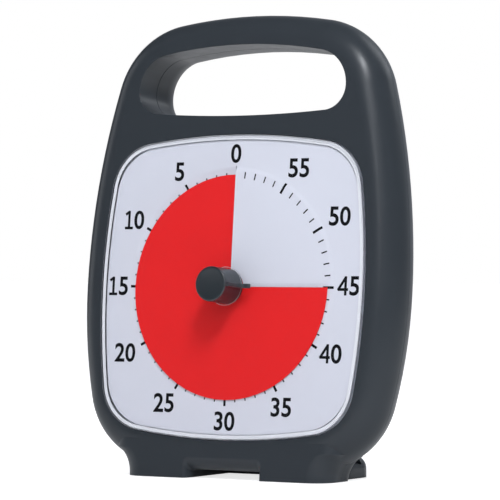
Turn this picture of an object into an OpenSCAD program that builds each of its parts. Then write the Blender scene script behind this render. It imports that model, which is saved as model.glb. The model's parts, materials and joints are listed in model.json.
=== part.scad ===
// Visual countdown timer: a sixty minute dial with a red disc that shrinks as time runs out.
// Units are millimetres. The table is z = 0 and the dial looks along -Y.
// Most pieces are drawn in the dial's own frame, which leans back by face_tilt: there y is
// the depth behind the printed face, z runs up the face, and the knob's axis is x = z = 0.

/* [Body] */
// Widest measure across the sides
body_w = 141.4; // [139:0.1:143]
// Width of the frame beside the window
frame_w = 12.2; // [11.7:0.1:12.8]
// Top of the handle above the window's upper edge, along the face
handle_h = 47.4; // [45:0.1:50]
// Height of the grip above the handle's opening
grip_h = 12.6; // [11.5:0.1:14]
// Width of the handle's limbs beside the opening
limb_w = 24.5; // [24:0.1:27]
// Height of the window's lower edge above the table
sill_h = 14.6; // [13.5:0.1:16]
// Backward lean of the face, degrees
face_tilt = 5.5; // [4:0.1:7]
// Depth of the body behind the face
body_depth = 30; // [29.5:0.1:32]
// Depth behind the face where the handle opening starts to widen toward the back
handle_depth = 19.5; // [18:0.1:21]
// Thickness of the housing's walls
wall = 2.2; // [2:0.1:2.3]

/* [Window and dial] */
// How far the lens stands in front of the printed face
lens_proud = 3.7; // [3.5:0.1:4.5]
// Radius of the red disc
disc_r = 43.1; // [40:0.1:43.5]
// Rise of the red disc over one turn, which carries it through the slit
disc_rise = 1.35; // [1.3:0.01:1.4]
// Width of the clear strip ahead of the red edge
strip_w = 1.55; // [1:0.05:2]
// Minutes shown at rest
rest_minutes = 45; // [0:1:60]

/* [Knob] */
// Diameter of the knob
knob_d = 13.5; // [13:0.1:14.2]
// Front of the knob ahead of the printed face
knob_reach = 14.6; // [13:0.1:16]
// Distance of the pointer's tip from the knob's axis
pointer_reach = 11.8; // [10:0.1:13]

/* [Base] */
// Width of the front feet
base_w = 91; // [88:0.5:93]
// Width of the rear foot
heel_w = 83; // [80:0.5:85]
// Rear end of the rear foot behind the dial's centre, along the table
heel_reach = 38.5; // [36:0.5:40]
// Width of the scoop between the front feet
scoop_w = 31; // [28:0.5:34]
// Height of the scoop's roof above the table
scoop_h = 3.3; // [3:0.1:3.6]

/* [Battery] */
// Diameter of the AA cell
cell_d = 14.4; // [13.8:0.1:14.4]
// Length of the cell's case, without its nub
cell_len = 49.3; // [48.5:0.1:49.5]

/* [Alarm] */
// Diameter of the speaker
speaker_d = 28; // [24:0.5:29]
// Diameter of the volume dial
volume_d = 19.2; // [17:0.1:20]

/* [Hidden] */
$fn = 48;

// clearances
run_gap = 0.05;        // round running fits
slip_gap = 0.1;        // flat faces that slide or nearly touch
free_gap = 0.3;        // pieces that must stay apart
far = 200;             // longer than the whole timer
eps = 0.01;

window_half = body_w / 2 - frame_w;
handle_rise = window_half + handle_h;  // top of the handle above the dial's centre
dial_height = window_half + sill_h;

// battery bay and door, from the back of the body forward
door_t = 1.8;
cell_r = cell_d / 2;
cell_y = body_depth - door_t - 2 * slip_gap - cell_r;
bay_floor = cell_y - cell_r - slip_gap;
bay_floor_t = 1.2;
seam_depth = bay_floor - bay_floor_t;  // the two housings meet here

// housing form
front_round = 10;      // width of the front edge's rounding, in the face
rear_round = 24;       // width of the rear edge's rounding
widest_depth = seam_depth - 1.1;       // depth of the widest section
edge_steps = 7;        // rings on each rounding
ring_gap = 4;          // at least the distance between the rings next to the parting line
turn_step = 8;         // a loop's arcs are drawn in steps of at most this many degrees
chord = 16;            // and of at most this length
plan_steps = 4;        // steps on each corner of a foot
rim_steps = 4;         // rings on the roundings of the feet and the handle's opening
body_bottom = -window_half - 11;       // lowest point of the body's loop
// loops: half width, top, bottom, side radius above, side radius below, top radius,
// bottom radius, upper corner radius, lower corner radius
body_loop = [body_w / 2, handle_rise, body_bottom, 292, 191, 206, 400, 33.6, 31];
hole_mid = window_half + 18.8;         // height of the handle opening's widest line
hole_loop = [body_w / 2 - limb_w, handle_rise - grip_h - hole_mid, -11.5, 28, 18, 200, 500, 12.6, 8.5];
hole_flare = 7;        // how far the opening widens at the back
side_r = 264;          // bow of the window's sides
window_corner = 19;
function square_loop(half) = [half, half, -half, side_r, side_r, side_r, side_r, window_corner, window_corner];
window_loop = square_loop(window_half);

// places in the row frame
knob_front_y = -knob_reach * cos(face_tilt) - knob_d / 2 * sin(face_tilt);
dial_y = -(knob_front_y + heel_reach) / 2;
dial_z = dial_height;

// dial and disc, depths along the knob's axis
dial_t = 0.5;
film_t = 0.25;
dial_mid = dial_t / 2;
ramp = disc_rise / 2;                  // the dial winds from -ramp to +ramp
dial_hole_r = 6;
ramp_r = disc_r + 0.7;
flat_r = ramp_r + 2.4;
slit_w = 0.5;
turn_steps = 72;
dial_half = window_half - 2.2;
hub_r = 5.2;
hub_front = -1.2;
hub_len = 2.35;
spindle_r = 2.5;
flat_off = 1.8;                        // the spindle's flat, from its axis
flat_end = 2.6;
rest_turn = rest_minutes / 60;
knob_back = -2;                        // the knob ends inside the lens
knob_edge = 0.7;
fin_w = 1.8;                           // pointer fin
fin_gap = 0.8;

// lens
lens_t = 1.8;
lens_wall = 1.5;
lens_side = window_half - free_gap;
lens_front_half = window_half - 1.7;
bevel_depth = 2.6;
lens_bore_r = knob_d / 2 + 0.7;
lens_rim_w = 1.2;
lens_rim_h = 0.4;
flange_w = 2;
flange_front = wall + free_gap;

// carrier
carrier_y = wall + 1.7;
carrier_t = 1.5;
carrier_half = window_half + 2.3;
carrier_back = carrier_y + carrier_t;
lug_out = 6.3;                         // from the window's corner to the upper lugs
lug_in = corner_centre([window_half - side_r, 0], side_r, [0, window_half - side_r], side_r, window_corner, 1)[0]
    + (window_corner + lug_out) / sqrt(2);
lower_lug = [body_w / 2 - 40.7, -window_half - 3.9];
carrier_lugs = [[lug_in, lug_in], [-lug_in, lug_in], lower_lug, [-lower_lug[0], lower_lug[1]]];
lug_r = 4.5;
lug_boss_r = 3.2;
small_screw_r = 1;

// case screws
upper_post = [body_w / 2 - 17.7, window_half + 4.3];
lower_post = [body_w / 2 - 29.7, -window_half - 2.9];
case_posts = [for (p = [upper_post, lower_post]) for (s = [1, -1]) [s * p[0], p[1]]];
post_r = 3.2;
well_r = 3.3;
well_seat = seam_depth + 2.2;
case_screw_r = 1.45;

// movement
move_half = 28;
move_round = 3;
move_wall = 1.4;
move_front = carrier_back;
move_split = move_front + 3.2;
move_back = move_front + 11.2;
inner_front = move_front + move_wall;
inner_back = move_back - move_wall;
bush_r = 4;
nut_t = 1.2;
bush_front = carrier_y - nut_t;
arbor_r = 0.6;
pivot_r = 0.4;
pivot_len = 0.8;

// gear train: modules and teeth
centre_module = 0.5;
third_module = 0.4;
fourth_module = 0.35;
wheel_teeth = 48;
fourth_teeth = 45;
pinion_teeth = 12;
third_dist = (wheel_teeth + pinion_teeth) * centre_module / 2;
fourth_dist = (wheel_teeth + pinion_teeth) * third_module / 2;
rotor_dist = (fourth_teeth + pinion_teeth) * fourth_module / 2;
third_angle = 200;
fourth_angle = 285;
function polar(r, a) = [r * cos(a), r * sin(a)];
third_at = polar(third_dist, third_angle);
fourth_at = third_at + polar(fourth_dist, fourth_angle);
rotor_at = fourth_at + [rotor_dist, 0];
layer_a = inner_front + 1.2;
layer_b = inner_front + 3.6;
layer_c = inner_front + 5.8;

// motor and board
stator_y = inner_front + 3.4;
stator_t = 0.8;
coil_x = 17;
coil_span = [-22.2, -12.8];
coil_r = 3.1;
stator_pegs = [[22, -24.2], [22, -10.8]];
stator_arm = 3.6;                      // width of the stator's arms
stator_low = -26;
rotor_r = 3;
peg_r = 0.8;
board_y = inner_back - 2.2;
board_t = 1.2;
board_box = [[-24, 13.5], [24, 25.5]];
board_pegs = [[-21, 22.5], [21, 22.5]];

// battery bay and door, across
bay_x = 28.6;
bay_high = -move_half - 3.4;
cell_z = bay_high - 1 - cell_r;
bay_low = cell_z - cell_r - 2.6;
bay_wall = 1.8;
door_pivot = [body_depth - 1.6, bay_low + 1.4];      // depth and height of the hinge axis
door_r = body_depth - door_pivot[0];
door_top = bay_high + 0.5;
pin_r = 1;
pin_len = 1.5;
latch = [10, 3.6, 0.9];                // width, length and thickness of the door's latch
tongue_z = bay_high - 1.5;
nub_r = 2.75;
nub_len = 1;
contact_t = 0.4;
cell_front = -bay_x + contact_t + nub_len;

// alarm
speaker_at = [-24, 35];
speaker_depth = 5;
ring_w = 1.5;
volume_at = [26, 36];
dial_recess = body_depth - 2.4;
volume_shaft_r = 3;
pot_back = dial_recess - 2.2;
pot_t = 5.5;
pot_w = 16;

// base
base_round = 9;
base_back = 24;
flare_low = body_bottom - 2.9;               // the feet's sides start to widen here
flare_h = 11;
flare_w = 9;
flare_turn = 70;
sole = 0.25;                                // the pads hold the plastic this far off the table
sole_t = 2.2;
heel_top = 8.6;
heel_edge = 5;
heel_start = dial_y - 2;
scoop_back = dial_y + 24;
lip_h = 5.4;
lip_w = 2.2;
pad_r = 4;
pad_t = 1.6;
pads = [[33, dial_y + 2], [-33, dial_y + 2], [28, dial_y + heel_reach - 8], [-28, dial_y + heel_reach - 8]];

charcoal = "#3b4046";
deep_grey = "#2f3439";

// ---------------------------------------------------------------- frames and helpers

module upright() translate([0, dial_y, dial_z]) rotate([-face_tilt, 0, 0]) children();
module grounded() rotate([face_tilt, 0, 0]) translate([0, -dial_y, -dial_z]) children();
// a shape drawn in x and z, from depth y0 to depth y1
module plate(y0, y1) translate([0, y1, 0]) rotate([90, 0, 0]) linear_extrude(y1 - y0) children();
module rod(r, y0, y1, at = [0, 0]) translate([at[0], y0, at[1]]) rotate([-90, 0, 0]) cylinder(r = r, h = y1 - y0);
module brick(x, y, z) translate([x[0], y[0], z[0]]) cube([x[1] - x[0], y[1] - y[0], z[1] - z[0]]);
// turns a profile drawn as radius and depth about the knob's axis
module turned() rotate([-90, 0, 0]) rotate_extrude($fn = 96) children();

function smooth(t) = let (c = min(1, max(0, t))) c * c * (3 - 2 * c);

// centre of the circle of radius r that touches two larger circles from inside
function corner_centre(c1, r1, c2, r2, r, side) =
    let (a = r1 - r, b = r2 - r, d = norm(c2 - c1), u = (c2 - c1) / d,
         along = (a * a - b * b + d * d) / (2 * d), off = sqrt(a * a - along * along))
    c1 + along * u + side * off * [-u[1], u[0]];
function bearing(c, p) = atan2(p[1] - c[1], p[0] - c[0]);
function arc(c, r, from, to, n, skip = 0) = [for (i = [skip : n]) c + polar(r, from + (to - from) * i / n)];
function steps(r, span) = ceil(max(1, abs(span) / turn_step, r * abs(span) * PI / 180 / chord));

// right half of a loop of tangent arcs, from bottom centre to top centre
function half_loop(s, inset = 0) =
    let (up = [s[0] - s[3], 0], down = [s[0] - s[4], 0], top = [0, s[1] - s[5]], low = [0, s[2] + s[6]],
         kt = corner_centre(up, s[3], top, s[5], s[7], 1),
         kb = corner_centre(down, s[4], low, s[6], s[8], -1),
         arcs = [[low, s[6], -90, bearing(low, kb)], [kb, s[8], bearing(low, kb), bearing(down, kb)],
                 [down, s[4], bearing(down, kb), 0], [up, s[3], 0, bearing(up, kt)],
                 [kt, s[7], bearing(up, kt), bearing(top, kt)], [top, s[5], bearing(top, kt), 90]])
    concat([low - [0, s[6] - inset]],
        [for (a = arcs) each arc(a[0], a[1] - inset, a[2], a[3], steps(a[1], a[3] - a[2]), 1)]);
function whole_loop(h) = concat(h, [for (i = [len(h) - 2 : -1 : 1]) [-h[i][0], h[i][1]]]);
module loop_shape(spec, inset = 0) polygon(whole_loop(half_loop(spec, inset)));

// closed solid through rings of equal length; a folded cap joins left and right points,
// a plain cap is a fan
module stack(rings, folded = false) {
    count = len(rings[0]);
    half = count / 2;
    last = (len(rings) - 1) * count;
    walls = [for (k = [0 : len(rings) - 2]) for (i = [0 : count - 1])
        let (a = k * count, j = (i + 1) % count)
        each [[a + i, a + j, a + count + j], [a + i, a + count + j, a + count + i]]];
    cap = folded
        ? [for (i = [0 : half - 1]) let (l0 = (count - i) % count, l1 = count - i - 1)
            each [for (t = [[i, i + 1, l0], [i + 1, l1, l0]]) if (t[0] != t[2] && t[0] != t[1]) t]]
        : [for (i = [1 : count - 2]) [0, i, i + 1]];
    polyhedron([for (r = rings) each r], concat(walls, [for (t = cap) [t[0], t[2], t[1]]],
        [for (t = cap) [last + t[0], last + t[1], last + t[2]]]));
}

// the whole body, taken in by g all round
function body_rings(g) = concat(
    [for (i = [0 : edge_steps]) let (t = 90 * i / edge_steps)
        [widest_depth - (widest_depth - g) * cos(t), g + (front_round - g) * (1 - sin(t))]],
    [for (i = [1 : edge_steps]) let (t = 90 * i / edge_steps)
        [widest_depth + (body_depth - widest_depth - g) * sin(t), g + (rear_round - g) * (1 - cos(t))]]);
// only the rings between two depths are built
module body_form(g, from, to) stack([for (r = body_rings(g)) if (r[0] >= from && r[0] <= to)
    [for (p = whole_loop(half_loop(body_loop, r[1]))) [p[0], r[0], p[1]]]], folded = true);

// plan of a foot: a rectangle with round corners, taken in by g, clockwise from its left front
function foot_plan(half, y0, y1, r, g) = let (k = r - g)
    concat(arc([r - half, y0 + r], k, 270, 180, plan_steps), arc([r - half, y1 - r], k, 180, 90, plan_steps),
        arc([half - r, y1 - r], k, 90, 0, plan_steps), arc([half - r, y0 + r], k, 0, -90, plan_steps));
// the front feet, flared at the sides where they meet the body
module pedestal(g) stack(concat(
    [pedestal_ring(-2 * dial_height, 0, g)],
    [for (i = [0 : rim_steps]) let (t = flare_turn * i / rim_steps)
        pedestal_ring(flare_low + flare_h * sin(t), flare_w * (1 - cos(t)), g)]));
function pedestal_ring(z, grow, g) =
    [for (p = foot_plan(base_w / 2 + grow, 0, base_back, base_round, g)) [p[0], p[1], z]];
module heel(g) stack(concat(
    [[for (p = foot_plan(heel_w / 2, heel_start, dial_y + heel_reach, base_round, g)) [p[0], p[1], -sole]]],
    [for (i = [0 : rim_steps]) let (t = 90 * i / rim_steps)
        [for (p = foot_plan(heel_w / 2, heel_start, dial_y + heel_reach, base_round, g + (heel_edge - g) * (1 - cos(t))))
            [p[0], p[1], heel_top - heel_edge + (heel_edge - g) * sin(t)]]]));
// the hollow under the base, with its flared mouth, grown by g
module scoop(g) {
    front = dial_y - dial_height * tan(face_tilt);
    half = scoop_w / 2 + g;
    roof = scoop_h + g;
    brick([-half, half], [front - wall, scoop_back + g], [-sole, roof]);
    stack([for (i = [rim_steps : -1 : -1])
        let (t = 90 * max(i, 0) / rim_steps, w = half + lip_w * (1 - sin(t)), h = roof + lip_h * (1 - sin(t)),
             y = i < 0 ? front - lip_h : front + lip_h * (1 - cos(t)))
        [for (p = [[-w, -sole], [-w, h], [w, h], [w, -sole]]) [p[0], y + max(p[1], 0) * tan(face_tilt), p[1]]]]);
}
module whole_form(g, from, to) {
    body_form(g, from, to);
    pedestal(g);
    grounded() heel(g);
}
// the handle's opening, rounded toward the back, grown by g
module handle_hole(g) stack(concat(
    [hole_ring(-far / 10, g)],
    [for (i = [0 : rim_steps]) let (t = 90 * i / rim_steps)
        hole_ring(handle_depth + (body_depth + 1 - handle_depth) * sin(t), g + hole_flare * (1 - cos(t)))]), folded = true);
function hole_ring(y, grow) = [for (p = whole_loop(half_loop(hole_loop, -grow))) [p[0], y, hole_mid + p[1]]];
module above_table(z) grounded() translate([-far / 2, -far / 2, z]) cube([far, far, far]);

// hollow space of the housings, before posts and ribs
module cavity(from, to) difference() {
    intersection() {
        whole_form(wall, from, to);
        above_table(sole + sole_t);
    }
    handle_hole(wall);
    grounded() scoop(wall);
}
module half_housing(y0, y1) difference() {
    from = min(y0, widest_depth);
    to = y1 + ring_gap;
    intersection() {
        whole_form(0, from, to);
        above_table(sole);
        brick([-far, far], [y0, y1], [-far, far]);
    }
    difference() {
        cavity(from, to);
        children();
    }
    handle_hole(0);
    grounded() scoop(0);
    grounded() pad_shapes(slip_gap);
}
module pad_shapes(g) for (p = pads) translate([p[0], p[1], -g]) cylinder(r = pad_r + g, h = pad_t + g);

// ---------------------------------------------------------------- housing

module front_housing() color(charcoal) upright() difference() {
    half_housing(-far, seam_depth) {
        for (p = case_posts) rod(post_r, 0, seam_depth, p);
        for (p = carrier_lugs) rod(lug_boss_r, 0, carrier_y, p);
    }
    plate(-wall, carrier_y) loop_shape(window_loop);
    for (p = case_posts) rod(case_screw_r + run_gap, seam_depth - 8, seam_depth + eps, p);
    for (p = carrier_lugs) rod(small_screw_r + run_gap, 1.3, carrier_y + eps, p);
}

module bay_shape() brick([-bay_x, bay_x], [bay_floor, far / 4], [bay_low, bay_high]);
module door_opening() {
    brick([-bay_x, bay_x], [body_depth - door_t - slip_gap, far / 4], [door_pivot[1], door_top + free_gap]);
    translate([-bay_x, door_pivot[0], door_pivot[1]]) rotate([0, 90, 0]) cylinder(r = door_r + free_gap, h = 2 * bay_x);
    // room for the door's lower edge while it is open
    brick([-bay_x, bay_x], [door_pivot[0], far / 4], [door_pivot[1] - door_r - free_gap, door_pivot[1]]);
}
module grille() for (i = [-3 : 3]) let (half = sqrt(pow(speaker_d / 2 - 3, 2) - pow(3.2 * i, 2)))
    translate([speaker_at[0], 0, speaker_at[1] + 3.2 * i]) plate(speaker_back() - eps, body_depth + 1)
        union() {
            square([2 * half, 1.6], center = true);
            for (s = [-1, 1]) translate([s * half, 0]) circle(r = 0.8, $fn = 24);
        }
function speaker_back() = body_depth - wall;

module rear_housing() color(charcoal) upright() difference() {
    half_housing(seam_depth, far) {
        for (p = case_posts) rod(well_r + 1.4, 0, far / 4, p);
        brick([-bay_x - bay_wall, bay_x + bay_wall], [seam_depth, far / 4], [bay_low - bay_wall, bay_high + bay_wall]);
        difference() {
            rod(speaker_d / 2 + slip_gap + ring_w, speaker_back() - speaker_depth, far / 4, speaker_at);
            rod(speaker_d / 2 + slip_gap, 0, speaker_back(), speaker_at);
        }
        rod(volume_d / 2 + ring_w, pot_back + slip_gap, far / 4, volume_at);
    }
    bay_shape();
    door_opening();
    for (s = [-1, 1]) translate([s * (bay_x + pin_len / 2), door_pivot[0], door_pivot[1]])
        rotate([0, 90, 0]) cylinder(r = pin_r + run_gap, h = pin_len + 2 * slip_gap, center = true);
    for (p = case_posts) {
        rod(well_r, well_seat, far / 4, p);
        rod(case_screw_r + slip_gap, seam_depth - eps, well_seat + eps, p);
    }
    grille();
    rod(volume_d / 2 + free_gap, dial_recess, far / 4, volume_at);
    rod(volume_shaft_r + run_gap, 0, far / 4, volume_at);
}

module case_screws() color("silver") upright() for (p = case_posts) {
    rod(case_screw_r, seam_depth - 7.6, well_seat + eps, p);
    difference() {
        rod(2.8, well_seat, well_seat + 2, p);
        for (a = [0, 90]) translate([p[0], 0, p[1]]) rotate([0, a, 0])
            brick([-1.6, 1.6], [well_seat + 1, well_seat + 3], [-0.35, 0.35]);
    }
}

module foot_pads() color("#1c1d1f") pad_shapes(0);

// ---------------------------------------------------------------- window and dial

module lens() color([0.86, 0.9, 0.94, 0.35]) upright() difference() {
    union() {
        stack([for (r = [[-lens_proud, lens_front_half], [bevel_depth - lens_proud, lens_side], [carrier_y - slip_gap, lens_side]])
            [for (p = whole_loop(half_loop(square_loop(r[1])))) [p[0], r[0], p[1]]]], folded = true);
        plate(flange_front, carrier_y - slip_gap) loop_shape(square_loop(window_half + flange_w));
        rod(lens_bore_r + lens_rim_w, -lens_proud - lens_rim_h, -lens_proud + eps);
    }
    plate(lens_t - lens_proud, carrier_y) loop_shape(square_loop(lens_side - lens_wall));
    rod(lens_bore_r, -lens_proud - 1, 0);
}

// the dial winds backward just left of the slit and forward just right of it
function dial_lift(i, r) = (r < flat_r ? 1 : 0) * smooth((flat_r - r) / (flat_r - ramp_r))
    * ramp * (2 * i / turn_steps - 1);
function slit_angle(i, r) = let (e = asin(slit_w / 2 / r)) i == 0 ? e : i == turn_steps ? 360 - e : 360 * i / turn_steps;
function dial_point(i, r, y) = let (a = slit_angle(i, r)) [-r * sin(a), y - dial_lift(i, r), r * cos(a)];
module wound_sheet(radii, y0, y1) {
    n = len(radii);
    row = 2 * n;
    section = concat([for (r = radii) [r, y0]], [for (k = [n - 1 : -1 : 0]) [radii[k], y1]]);
    points = [for (i = [0 : turn_steps]) for (s = section) dial_point(i, s[0], s[1])];
    sides = [for (i = [0 : turn_steps - 1]) for (k = [0 : row - 1])
        let (a = i * row + k, b = i * row + (k + 1) % row)
        each [[a, b + row, b], [a, a + row, b + row]]];
    function end(base) = [for (k = [0 : n - 2])
        each [[base + k, base + k + 1, base + row - 1 - k], [base + k + 1, base + row - 2 - k, base + row - 1 - k]]];
    last = turn_steps * row;
    polyhedron(points, concat(sides, end(0), [for (t = end(last)) [t[0], t[2], t[1]]]));
}
module dial_plate() color("white") upright() {
    wound_sheet([dial_hole_r, ramp_r, (2 * ramp_r + flat_r) / 3, (ramp_r + 2 * flat_r) / 3, flat_r, flat_r + 1], 0, dial_t);
    plate(0, dial_t) difference() {
        loop_shape(square_loop(dial_half));
        circle(r = flat_r + 0.3, $fn = 96);
    }
}

module dial_carrier() color("#e4e6ea") upright() difference() {
    union() {
        plate(carrier_y, carrier_back) union() {
            loop_shape(square_loop(carrier_half));
            for (p = carrier_lugs) translate(p) circle(r = lug_r);
        }
        plate(dial_t, carrier_y + eps) difference() {
            loop_shape(square_loop(dial_half));
            loop_shape(square_loop(dial_half - 2.2));
        }
    }
    rod(bush_r + slip_gap, 0, far / 10);
    for (p = carrier_lugs) rod(small_screw_r + slip_gap, 0, far / 10, p);
}

module carrier_screws() color("silver") upright() for (p = carrier_lugs) {
    rod(small_screw_r, 1.5, carrier_back + eps, p);
    difference() {
        rod(1.9, carrier_back, carrier_back + 1.3, p);
        for (a = [0, 90]) translate([p[0], 0, p[1]]) rotate([0, a, 0])
            brick([-1.1, 1.1], [carrier_back + 0.6, carrier_back + 2], [-0.25, 0.25]);
    }
}

// ---------------------------------------------------------------- disc, knob and spindle

// height of the film toward the viewer at angle a from the slit, counter-clockwise
function film_lift(a) = disc_rise * a / 360;
module film(from, to, r0, r1) {
    n = max(1, ceil((to - from) * turn_steps / 360));
    points = [for (i = [0 : n]) let (a = from + (to - from) * i / n)
        for (s = [[r0, 1], [r1, 1], [r1, -1], [r0, -1]])
            [-s[0] * sin(a), dial_mid - film_lift(a) - s[1] * film_t / 2, s[0] * cos(a)]];
    sides = [for (i = [0 : n - 1]) for (k = [0 : 3])
        let (a = 4 * i + k, b = 4 * i + (k + 1) % 4) each [[a, b + 4, b], [a, a + 4, b + 4]]];
    polyhedron(points, concat(sides, [[0, 1, 2], [0, 2, 3], [4 * n, 4 * n + 2, 4 * n + 1], [4 * n, 4 * n + 3, 4 * n + 2]]));
}
module time_disc() color("#e02b2b") upright() film(360 * (rest_turn - 1), 360 * rest_turn, hub_r, disc_r);
module disc_strip() color([0.9, 0.92, 0.95, 0.5]) upright() rotate([0, -360 * rest_turn, 0])
    translate([-strip_w, dial_mid - film_lift(360 * rest_turn) - film_t / 2, 0])
        brick([0, strip_w], [0, film_t], [hub_r, disc_r - 0.05]);

module flatted(r, y0, y1, gap = 0) rotate([0, -360 * rest_turn, 0]) intersection() {
    rod(r + gap, y0, y1);
    brick([-far, flat_off + gap], [y0, y1], [-far, far]);
}
module disc_hub() color("#c82626") upright() difference() {
    rod(hub_r, hub_front, hub_front + hub_len);
    flatted(spindle_r, hub_front - 1, hub_front + hub_len + 1, run_gap);
}
module spindle() color("#b9bcc0") upright() {
    flatted(spindle_r, -knob_reach + 3, flat_end);
    rod(spindle_r, flat_end, inner_back - 1.2);
    rod(pivot_r * 2, inner_back - 1.2 - eps, inner_back + pivot_len);
}
module knob() color(deep_grey) upright() difference() {
    union() {
        turned() polygon([[0, -knob_reach], [knob_d / 2 - knob_edge, -knob_reach],
            [knob_d / 2 - 0.3, -knob_reach + 0.15], [knob_d / 2 - 0.08, -knob_reach + knob_edge],
            [knob_d / 2, -lens_proud], [knob_d / 2, knob_back], [0, knob_back]]);
        rotate([0, -90 - 360 * rest_turn, 0]) translate([0, 0, -fin_w / 2]) linear_extrude(fin_w)
            polygon([[0, fin_gap - knob_reach], [knob_d / 2 - 0.3, fin_gap - knob_reach],
                [pointer_reach - 0.2, -lens_proud - 2 * fin_gap], [pointer_reach, -lens_proud - 1.5 * fin_gap],
                [pointer_reach, -lens_proud - fin_gap], [0, -lens_proud - fin_gap]]);
    }
    flatted(spindle_r, -knob_reach + 2.9, 0, 0.02);
}

// ---------------------------------------------------------------- movement

// gear outline: straight-flanked teeth that narrow to the tip, with backlash
module gear_shape(teeth, mod, turn = 0) {
    root = mod * (teeth / 2 - 1.2);
    tip = mod * (teeth / 2 + 0.9);
    pitch = 360 / teeth;
    polygon([for (i = [0 : teeth - 1]) each
        [for (f = [[root, -0.34], [mod * teeth / 2, -0.22], [tip, -0.11], [tip, 0.11], [mod * teeth / 2, 0.22], [root, 0.34]])
            polar(f[0], turn + (i + f[1]) * pitch)]]);
}
module gear(teeth, mod, y0, y1, at, turn) translate([at[0], 0, at[1]]) plate(y0, y1) gear_shape(teeth, mod, turn);
module arbor(at) {
    rod(arbor_r, inner_front + slip_gap, inner_back - slip_gap, at);
    rod(pivot_r, inner_front + slip_gap - pivot_len, inner_back - slip_gap + pivot_len, at);
}
// turn that puts a gap of the follower on the line of centres where the driver has a tooth
function meshed(angle, teeth) = angle + 180 + 180 / teeth;
third_turn = meshed(third_angle, pinion_teeth);
fourth_turn = meshed(fourth_angle, pinion_teeth);
rotor_turn = meshed(0, pinion_teeth);

module centre_wheel() color("#e6e2d4") upright() difference() {
    union() {
        gear(wheel_teeth, centre_module, layer_a, layer_a + 1, [0, 0], third_angle);
        rod(3.6, layer_a - 0.6, layer_a + 2.4);
    }
    rod(spindle_r + run_gap, 0, far / 10);
    for (i = [0 : 4]) rod(2.2, 0, far / 10, polar(7.6, 72 * i + 20));
}
module clutch_washer() color("#c9a24a") upright() difference() {
    union() {
        rod(4.4, layer_a + 2.4, layer_a + 2.8);
        rod(3.4, layer_a + 2.8 - eps, layer_a + 4.2);
    }
    rod(spindle_r + run_gap, 0, far / 10);
}
module third_wheel() color("#e6e2d4") upright() {
    arbor(third_at);
    gear(pinion_teeth, centre_module, layer_a - 0.3, layer_a + 1.3, third_at, third_turn);
    gear(wheel_teeth, third_module, layer_b, layer_b + 0.8, third_at, fourth_angle);
}
module fourth_wheel() color("#e6e2d4") upright() {
    arbor(fourth_at);
    gear(pinion_teeth, third_module, layer_b - 0.3, layer_b + 1.1, fourth_at, fourth_turn);
    gear(fourth_teeth, fourth_module, layer_c, layer_c + 0.6, fourth_at, 0);
}
module rotor() color("#8d9096") upright() {
    arbor(rotor_at);
    gear(pinion_teeth, fourth_module, layer_c - 0.3, layer_c + 0.9, rotor_at, rotor_turn);
    rod(rotor_r, stator_y - 0.6, stator_y + 1.6, rotor_at);
}
module stator() color("#9aa0a6") upright() difference() {
    plate(stator_y, stator_y + stator_t) difference() {
        union() {
            translate(rotor_at) circle(r = rotor_r + 2.4);
            translate([rotor_at[0], stator_low]) square([stator_pegs[0][0] + 2 - rotor_at[0], stator_arm]);
            translate([rotor_at[0] - stator_arm / 2, stator_low]) square([stator_arm, rotor_at[1] - stator_low - rotor_r - 1]);
            translate([rotor_at[0] - stator_arm / 2, rotor_at[1] + rotor_r + 1])
                square([stator_arm, stator_pegs[1][1] - stator_arm / 2 - rotor_at[1] - rotor_r - 1 + eps]);
            translate([rotor_at[0] - stator_arm / 2, stator_pegs[1][1] - stator_arm / 2])
                square([stator_pegs[1][0] + stator_arm - rotor_at[0], stator_arm]);
            translate([coil_x - 1, stator_low]) square([2, stator_pegs[1][1] - stator_low]);
        }
        translate(rotor_at) circle(r = rotor_r + 0.4);
    }
    for (p = stator_pegs) rod(peg_r + run_gap, 0, far / 10, p);
}
module coil() color("#b4652a") upright() translate([coil_x, stator_y + stator_t / 2, 0]) difference() {
    union() {
        translate([0, 0, coil_span[0]]) cylinder(r = coil_r, h = coil_span[1] - coil_span[0]);
        for (z = [coil_span[0], coil_span[1] - 0.8]) translate([0, 0, z]) cylinder(r = coil_r + 0.4, h = 0.8);
    }
    brick([-1.1, 1.1], [-0.5, 0.5], [-far, far]);
}

module rounded_square(half, r) union() {
    square([2 * half, 2 * (half - r)], center = true);
    square([2 * (half - r), 2 * half], center = true);
    for (x = [-1, 1]) for (z = [-1, 1]) translate([x, z] * (half - r)) circle(r = r);
}
module movement_front() color("#2b2d30") upright() difference() {
    union() {
        plate(move_front, move_split) rounded_square(move_half, move_round);
        rod(bush_r, bush_front, move_front + eps);
    }
    plate(inner_front, move_split + 1) rounded_square(move_half - move_wall, move_round - move_wall);
    rod(spindle_r + run_gap, 0, far / 10);
    for (p = [third_at, fourth_at, rotor_at]) rod(pivot_r + run_gap, inner_front - pivot_len - slip_gap, inner_front + 1, p);
}
module movement_rear() color("#2b2d30") upright() difference() {
    union() {
        difference() {
            plate(move_split, move_back) rounded_square(move_half, move_round);
            plate(move_split - 1, inner_back) rounded_square(move_half - move_wall, move_round - move_wall);
        }
        for (p = stator_pegs) {
            rod(2 * peg_r, stator_y + stator_t, inner_back + eps, p);
            rod(peg_r, stator_y - peg_r / 2, inner_back, p);
        }
        for (p = board_pegs) rod(2, board_y + board_t, inner_back + eps, p);
    }
    for (p = [third_at, fourth_at, rotor_at]) rod(pivot_r + run_gap, 0, inner_back + pivot_len + slip_gap, p);
    rod(pivot_r * 2 + run_gap, 0, inner_back + pivot_len + slip_gap);
    for (p = board_pegs) rod(0.85, 0, inner_back + 0.6, p);
}
module bushing_nut() color("#c9a24a") upright() difference() {
    plate(bush_front, carrier_y) circle(r = 6.6, $fn = 6);
    rod(bush_r + 0.02, 0, far / 10);
}
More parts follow.
